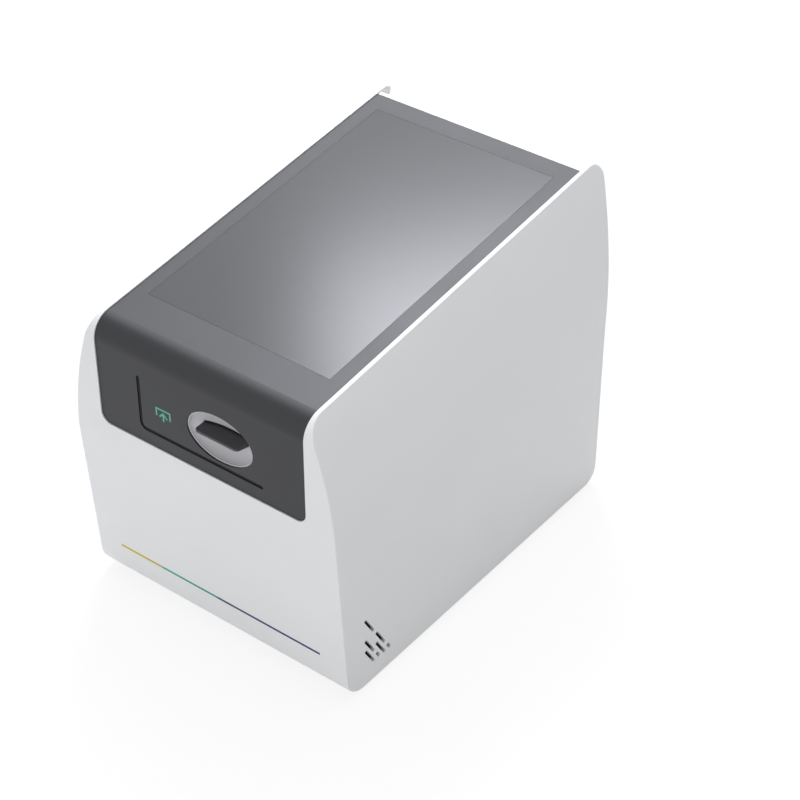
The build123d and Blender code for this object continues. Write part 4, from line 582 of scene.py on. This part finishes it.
def finish_piece(piece, material, body, slot, *replaced):
    """Gives a new piece its finish and its body, and hides the CAD nodes that it stands for. The slot is not used."""
    piece.data.materials.clear()
    piece.data.materials.append(material)
    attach(piece, body)
    if replaced:
        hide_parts(*replaced)


# %% [markdown]
# A CAD node may hold several separate solids, such as six screws. A merged copy of its mesh is walked along its edges,
# vertex by vertex, until no vertex is left. Each walk finds one solid, and its box says where the piece goes.

# %% Where the separate solids of a node are
def solid_boxes(name):
    """The lowest and highest corner of each separate solid of a CAD node."""
    mesh = bmesh.new()
    mesh.from_mesh(nodes[name].data)
    bmesh.ops.remove_doubles(mesh, verts=mesh.verts, dist=0.01 * MM)
    waiting = set(mesh.verts)
    boxes = []
    for start in mesh.verts:
        if start not in waiting:
            continue
        waiting.remove(start)
        reached = [start]
        for vertex in reached:
            for edge in vertex.link_edges:
                other = edge.other_vert(vertex)
                if other in waiting:
                    waiting.remove(other)
                    reached.append(other)
        corners = [[vertex.co[axis] for vertex in reached] for axis in range(3)]
        boxes.append((Vector([min(c) for c in corners]), Vector([max(c) for c in corners])))
    mesh.free()
    return boxes


for name in ("rubber_feet", "base_screws", "rear_panel_screws", "fan_screws"):
    print(name, "has", len(solid_boxes(name)), "solids")

# %% [markdown]
# ## Socket screws
# The rear panel, the fan and the base are held by stainless button-head screws with a hexagon socket. A lathe turns the
# rounded head, and a punch presses the socket. Here a cylinder is the head. Its top rim is bevelled round, its lower
# face is inset and extruded into the shank, and a six-sided cylinder cuts the socket as a boolean.

# %% Model a socket screw
HEAD_RADIUS = 2.9
HEAD_HEIGHT = 2.0
SHANK_RADIUS = 1.5
SOCKET_RADIUS = 1.2
SOCKET_DEPTH = 1.1
HEAD_ROUND = 0.85
TIP_CHAMFER = 0.3


def socket_screw(shank_length):
    """A screw that stands on its head's lower face, at the origin, and looks up."""
    middle = (0.0, 0.0, HEAD_HEIGHT / 2 * MM)
    size = {"radius": HEAD_RADIUS * MM, "depth": HEAD_HEIGHT * MM}
    bpy.ops.mesh.primitive_cylinder_add(vertices=36, location=middle, **size)
    screw = bpy.context.object
    bpy.ops.object.mode_set(mode="EDIT")
    pick_faces(screw, lambda centre, normal: normal.z > 0.9)
    bpy.ops.mesh.bevel(offset=HEAD_ROUND * MM, segments=4, affect="EDGES")
    pick_faces(screw, lambda centre, normal: normal.z < -0.9)
    bpy.ops.mesh.inset(thickness=(HEAD_RADIUS - SHANK_RADIUS) * MM)
    bpy.ops.mesh.extrude_region_move(TRANSFORM_OT_translate={"value": (0.0, 0.0, -shank_length * MM)})
    bpy.ops.mesh.bevel(offset=TIP_CHAMFER * MM, segments=1, affect="EDGES")
    bpy.ops.object.mode_set(mode="OBJECT")
    bpy.ops.mesh.primitive_cylinder_add(
        vertices=6, radius=SOCKET_RADIUS * MM, depth=2 * SOCKET_DEPTH * MM, location=(0.0, 0.0, HEAD_HEIGHT * MM)
    )
    punch = bpy.context.object
    socket = screw.modifiers.new("hexagon_socket", "BOOLEAN")
    socket.operation = "DIFFERENCE"
    socket.object = punch
    settle(screw)
    discard(punch)
    return screw


def drive_screws(node, name, looks, axis):
    """Replaces a node's plain screws: each copy takes its length and place from the box of its CAD solid."""
    seats_by_length = {}
    for low, high in solid_boxes(node):
        length = round((high[axis] - low[axis]) / MM - HEAD_HEIGHT, 2)
        seat = (low + high) / 2
        seat[axis] = high[axis] - HEAD_HEIGHT * MM if looks[axis] > 0 else low[axis] + HEAD_HEIGHT * MM
        seats_by_length.setdefault(length, []).append(seat)
    turn = Vector(looks).to_track_quat("Z", "Y").to_matrix().to_4x4()
    sets = []
    for length, seats in sorted(seats_by_length.items()):
        model = socket_screw(length)
        places = [Matrix.Translation(seat) @ turn for seat in seats]
        sets.append(copies_at(model, f"{name}_{len(sets) + 1}", places))
        discard(model)
    finish_piece(joined(name, sets), screw_steel, "housing", "screw_steel", node)


Y_AXIS, Z_AXIS = 1, 2

drive_screws("rear_panel_screws", "rear_socket_screws", (0.0, 1.0, 0.0), Y_AXIS)
drive_screws("fan_screws", "fan_socket_screws", (0.0, 1.0, 0.0), Y_AXIS)
drive_screws("base_screws", "base_socket_screws", (0.0, 0.0, -1.0), Z_AXIS)

# %% [markdown]
# ## Rubber feet
# Each foot is a moulded disc. Its lower rim is round, and its lower face has a shallow hollow, so that only a ring
# stands on the bench. A cylinder is the disc, a bevel rounds the rim, and an inset pushed upwards makes the hollow.

# %% Model the feet
FOOT_ROUND = 0.7
FOOT_RING = 2.6
FOOT_HOLLOW = 0.5
FOOT_HOLLOW_SLOPE = 0.4

foot_boxes = solid_boxes("rubber_feet")
foot_size = foot_boxes[0][1] - foot_boxes[0][0]
middle = (0.0, 0.0, foot_size.z / 2)
bpy.ops.mesh.primitive_cylinder_add(vertices=48, radius=foot_size.x / 2, depth=foot_size.z, location=middle)
foot = bpy.context.object
bpy.ops.object.mode_set(mode="EDIT")
pick_faces(foot, lambda centre, normal: normal.z < -0.9)
bpy.ops.mesh.bevel(offset=FOOT_ROUND * MM, segments=4, affect="EDGES")
pick_faces(foot, lambda centre, normal: normal.z < -0.999)
bpy.ops.mesh.inset(thickness=FOOT_RING * MM)
bpy.ops.mesh.inset(thickness=FOOT_HOLLOW_SLOPE * MM, depth=-FOOT_HOLLOW * MM)
bpy.ops.object.mode_set(mode="OBJECT")
settle(foot)
foot_places = [Matrix.Translation(((low.x + high.x) / 2, (low.y + high.y) / 2, low.z)) for low, high in foot_boxes]
feet = copies_at(foot, "hollow_rubber_feet", foot_places)
discard(foot)
finish_piece(feet, foot_rubber, "housing", "foot_rubber", "rubber_feet")

# %% [markdown]
# ## Contacts of the sockets
# The sockets on the rear have gold-plated contacts, and the mains inlet has nickel-plated blades. Gold over nickel
# stays bright and warm, and bare nickel is paler. Both are plated on drawn strip, whose lines run along the contact.

# %% Gold and nickel
gold = lined_metal("gold_plated_contacts", ("#E0B55C", "#CFA24A"), 0.24, ALONG_Y, 6.0, 0.001)
blade_nickel = lined_metal("nickel_plated_brass", ("#C9C4B8", "#B5B0A4"), 0.28, ALONG_Y, 8.0, 0.001)

# %% [markdown]
# All these parts are small blocks with softened edges, so one function makes such a block between two corners. The
# bevel is a modifier here, because it then takes every edge at once.

# %% A softened block
def softened_block(name, low, high, softness, turn=None):
    """A block between two corners in millimetres, with bevelled edges, turned about X through its middle."""
    low, high = Vector(low), Vector(high)
    bpy.ops.mesh.primitive_cube_add(size=1.0, location=(low + high) / 2 * MM)
    piece = bpy.context.object
    piece.name = piece.data.name = name
    bpy.ops.object.mode_set(mode="EDIT")
    bpy.ops.transform.resize(value=(high - low) * MM)
    if turn:
        bpy.ops.transform.rotate(value=turn, orient_axis="X", center_override=(low + high) / 2 * MM)
    bpy.ops.object.mode_set(mode="OBJECT")
    edges = piece.modifiers.new("softened_edges", "BEVEL")
    edges.width = softness * MM
    edges.segments = 2
    return settle(piece)


# %% [markdown]
# In each USB socket a black tongue carries four flat contacts, 2.5 and 2 mm apart. The tongue's insulator is a thin
# sleeve round the CAD tongue, and its edges are bevelled as the real one's are. The sleeve and one contact are modelled
# at the origin, and their copies go to the two sockets.

# %% USB tongues and contacts
USB_X = -62.6
USB_FLOOR_Y = 114.95
USB_TONGUES_Z = (25.25, 33.05)
TONGUE_WIDTH, TONGUE_LENGTH, TONGUE_THICKNESS = 11.1, 10.0, 1.8
SLEEVE_WALL = 0.06
CONTACT_WIDTH = 1.0
CONTACT_PROUD = 0.08
CONTACTS_X = (-3.5, -1.0, 1.0, 3.5)

half_width = TONGUE_WIDTH / 2 + SLEEVE_WALL
half_height = TONGUE_THICKNESS / 2 + SLEEVE_WALL
low = (-half_width, 0.02, -half_height)
high = (half_width, TONGUE_LENGTH + 0.1, half_height)
sleeve = softened_block("tongue_sleeve", low, high, 0.25)
tongue_spots = [(USB_X, USB_FLOOR_Y, z) for z in USB_TONGUES_Z]
usb_tongues = copies_at(sleeve, "usb_tongues", moved_to(*tongue_spots))

low = (-CONTACT_WIDTH / 2, 1.0, -half_height - CONTACT_PROUD)
high = (CONTACT_WIDTH / 2, TONGUE_LENGTH - 0.8, -half_height + 0.05)
contact = softened_block("usb_contact", low, high, 0.04)
contact_spots = [(x + offset, y, z) for x, y, z in tongue_spots for offset in CONTACTS_X]
usb_contacts = copies_at(contact, "usb_contacts", moved_to(*contact_spots))
discard(sleeve, contact)
finish_piece(usb_tongues, glass_nylon, "housing", "black_plastic")
finish_piece(usb_contacts, gold, "housing", "nut_brass")

# %% [markdown]
# The network socket has eight thin gold springs, which slant down from the roof of the socket, and two small windows
# for its link lamps above the opening. One spring is a block turned about X, and its copies stand 1.02 mm apart.

# %% Network socket springs and lamp windows
NETWORK_X, NETWORK_Z = -36.6, 27.35
NETWORK_FACE_Y = 127.95
SPRING_COUNT = 8
SPRING_PITCH = 1.02
SPRING_SLANT = math.radians(24.0)
LAMPS_X = (-4.9, 4.9)

spring = softened_block("network_spring", (-0.22, -10.5, 0.6), (0.22, -3.0, 0.9), 0.06, SPRING_SLANT)
offsets = [(number - (SPRING_COUNT - 1) / 2) * SPRING_PITCH for number in range(SPRING_COUNT)]
spring_places = moved_to(*((NETWORK_X + offset, NETWORK_FACE_Y, NETWORK_Z) for offset in offsets))
network_springs = copies_at(spring, "network_springs", spring_places)
finish_piece(network_springs, gold, "housing", "nut_brass")

material, tree, place = start_finish("frosted_lamp_window")
flow = add_node(tree, "ShaderNodeTexNoise", {"Vector": place, "Scale": per_mm(1.5)}).outputs["Fac"]
window_plastic = end_finish(material, flow, ("#B9C79A", "#C9C07F"), (0.30, 0.42), flow, 0.004, IOR=1.49)
window = softened_block("lamp_window", (-1.5, -0.6, 4.6), (1.5, 0.12, 6.2), 0.15)
window_places = moved_to(*((NETWORK_X + offset, NETWORK_FACE_Y, NETWORK_Z) for offset in LAMPS_X))
network_windows = copies_at(window, "network_lamp_windows", window_places)
finish_piece(network_windows, window_plastic, "housing", "led_ceramic")
discard(spring, window)

# %% [markdown]
# The mains inlet has three flat blades of nickel-plated brass. Each is a bright cover over the CAD blade, with the
# rounded nose that lets a plug find it.

# %% Inlet blades
INLET_X, INLET_Z = 60.6, 34.0
INLET_FACE_Y = 130.65
BLADES = ((-7.0, -2.0), (0.0, 2.0), (7.0, -2.0))

blade = softened_block("inlet_blade", (-1.05, -15.9, -2.05), (1.05, -1.95, 2.05), 0.45)
blade_places = moved_to(*((INLET_X + across, INLET_FACE_Y, INLET_Z + up) for across, up in BLADES))
inlet_blades = copies_at(blade, "inlet_blades", blade_places)
discard(blade)
finish_piece(inlet_blades, blade_nickel, "housing", "port_steel")

# %% [markdown]
# The rocker carries the usual marks, a line for on and a ring for off, printed white. The ring is a cylinder whose two
# ends are inset. The inner faces are then deleted and the two loops bridged. The rocker's face has a valley, so the
# marks lie on its two slopes, and they ride with it.

# %% Rocker marks
ROCKER_PIVOT = Vector((60.6, 125.65, 66.0))
ROCKER_REST_TILT = math.radians(-8.0)
ROCKER_FACE_SLOPE = math.atan2(1.0, 7.5)
MARK_HEIGHT = 3.85
MARK_OUT = 3.72
MARK_SUNK, MARK_PROUD = 0.05, 0.08
LINE_WIDTH = 0.7
RING_RADIUS = 1.6
RING_WIDTH = 0.6

material, tree, place = start_finish("white_mark_print")
dots = add_node(tree, "ShaderNodeTexNoise", {"Vector": place, "Scale": per_mm(0.5), "Detail": 3.0}).outputs["Fac"]
mark_print = end_finish(material, dots, ("#E9E9E7", "#DADAD8"), (0.45, 0.55), dots, 0.003, IOR=1.50)


def on_rocker(side):
    """The place of a mark that is modelled flat, looking up: side 1 is the upper slope, -1 the lower one."""
    tilt = Matrix.Rotation(ROCKER_REST_TILT, 4, "X")
    spot = Matrix.Translation((0.0, MARK_OUT * MM, side * MARK_HEIGHT * MM))
    lean = Matrix.Rotation(-math.pi / 2 - side * ROCKER_FACE_SLOPE, 4, "X")
    return Matrix.Translation(ROCKER_PIVOT * MM) @ tilt @ spot @ lean


low = (-LINE_WIDTH / 2, -RING_RADIUS, -MARK_SUNK)
high = (LINE_WIDTH / 2, RING_RADIUS, MARK_PROUD)
line = softened_block("on_line", low, high, 0.03)
middle = (0.0, 0.0, (MARK_PROUD - MARK_SUNK) / 2 * MM)
size = {"radius": RING_RADIUS * MM, "depth": (MARK_PROUD + MARK_SUNK) * MM}
bpy.ops.mesh.primitive_cylinder_add(vertices=40, location=middle, **size)
ring = bpy.context.object
bpy.ops.object.mode_set(mode="EDIT")
pick_faces(ring, lambda centre, normal: abs(normal.z) > 0.9)
bpy.ops.mesh.inset(thickness=RING_WIDTH * MM, use_individual=True)
bpy.ops.mesh.delete(type="FACE")
bpy.ops.mesh.select_all(action="DESELECT")
bpy.ops.mesh.select_mode(type="EDGE")
bpy.ops.mesh.select_non_manifold(extend=False)
bpy.ops.mesh.bridge_edge_loops()
bpy.ops.mesh.select_all(action="SELECT")
bpy.ops.mesh.normals_make_consistent(inside=False)
bpy.ops.object.mode_set(mode="OBJECT")
settle(ring)
on_line = copies_at(line, "rocker_on_line", [on_rocker(1)])
off_ring = copies_at(ring, "rocker_off_ring", [on_rocker(-1)])
discard(line, ring)
finish_piece(on_line, mark_print, "rocker", "white_housing")
finish_piece(off_ring, mark_print, "rocker", "white_housing")

# %% [markdown]
# ## Lead screw
# The focus drive turns a screw with a right-hand thread that climbs 1 mm a turn. A lathe cuts it from a plain rod. Here
# a Screw modifier sweeps one tooth of the thread round the axis and up: each turn starts where the last one ended, so
# the teeth join to one long groove. A core with plain ends closes it, and the screw turns with its body.

# %% Model the lead screw
THREAD_PITCH = 1.0
THREAD_DEPTH = 0.42
THREAD_STEPS = 24
PLAIN_END = 3.0
CORE_OVERLAP = 0.02
ROD_CHAMFER = 0.35
SAME_PLACE = 0.001
# The corners of the tooth: how far out from the rod's surface, and how far up, in millimetres.
TOOTH = ((-THREAD_DEPTH, 0.0), (-THREAD_DEPTH + 0.02, 0.12), (0.0, 0.5), (-THREAD_DEPTH, THREAD_PITCH))

(low, high), = solid_boxes("lead_screw")
rod_radius = (high.x - low.x) / 2
rod_middle = (low + high) / 2
turns = int((high.z - low.z) / MM - 2 * PLAIN_END)
core_radius = rod_radius - (THREAD_DEPTH - CORE_OVERLAP) * MM
bpy.ops.mesh.primitive_cylinder_add(vertices=32, radius=core_radius, depth=high.z - low.z, location=rod_middle)
core = bpy.context.object
bpy.ops.object.mode_set(mode="EDIT")
pick_faces(core, lambda centre, normal: abs(normal.z) > 0.9)
bpy.ops.mesh.bevel(offset=ROD_CHAMFER * MM, segments=2, affect="EDGES")
bpy.ops.object.mode_set(mode="OBJECT")
settle(core)

bpy.ops.mesh.primitive_plane_add(size=1.0, location=(rod_middle.x, rod_middle.y, low.z + PLAIN_END * MM))
thread = bpy.context.object
bpy.ops.object.mode_set(mode="EDIT")
tooth = bmesh.from_edit_mesh(thread.data)
for face in list(tooth.faces):
    tooth.faces.remove(face)
corners = sorted(tooth.verts, key=lambda vertex: (vertex.co.x, vertex.co.y))
for edge in list(tooth.edges):
    tooth.edges.remove(edge)
for corner, (out, up) in zip(corners, TOOTH):
    corner.co = (rod_radius + out * MM, 0.0, up * MM)
for first, second in zip(corners, corners[1:]):
    tooth.edges.new((first, second))
bmesh.update_edit_mesh(thread.data)
bpy.ops.object.mode_set(mode="OBJECT")
sweep = thread.modifiers.new("thread_sweep", "SCREW")
sweep.axis = "Z"
sweep.angle = 2 * math.pi
sweep.screw_offset = THREAD_PITCH * MM
sweep.iterations = turns
sweep.steps = sweep.render_steps = THREAD_STEPS
sweep.use_merge_vertices = True
sweep.merge_threshold = SAME_PLACE * MM
settle(thread, 20.0)
bpy.ops.object.mode_set(mode="EDIT")
bpy.ops.mesh.select_all(action="SELECT")
bpy.ops.mesh.remove_doubles(threshold=SAME_PLACE * MM)
bpy.ops.mesh.fill_holes(sides=0)
bpy.ops.mesh.normals_make_consistent(inside=False)
bpy.ops.object.mode_set(mode="OBJECT")
threaded = joined("threaded_lead_screw", [core, thread])
finish_piece(threaded, screw_steel, "focus_screw", "screw_steel", "lead_screw")
print("thread:", turns, "turns,", len(threaded.data.polygons), "faces")

# %% [markdown]
# ## Size
# The box round everything that is shown, leaving out the floor. The new pieces must not
# make the machine bigger than the CAD model says.

low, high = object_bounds()
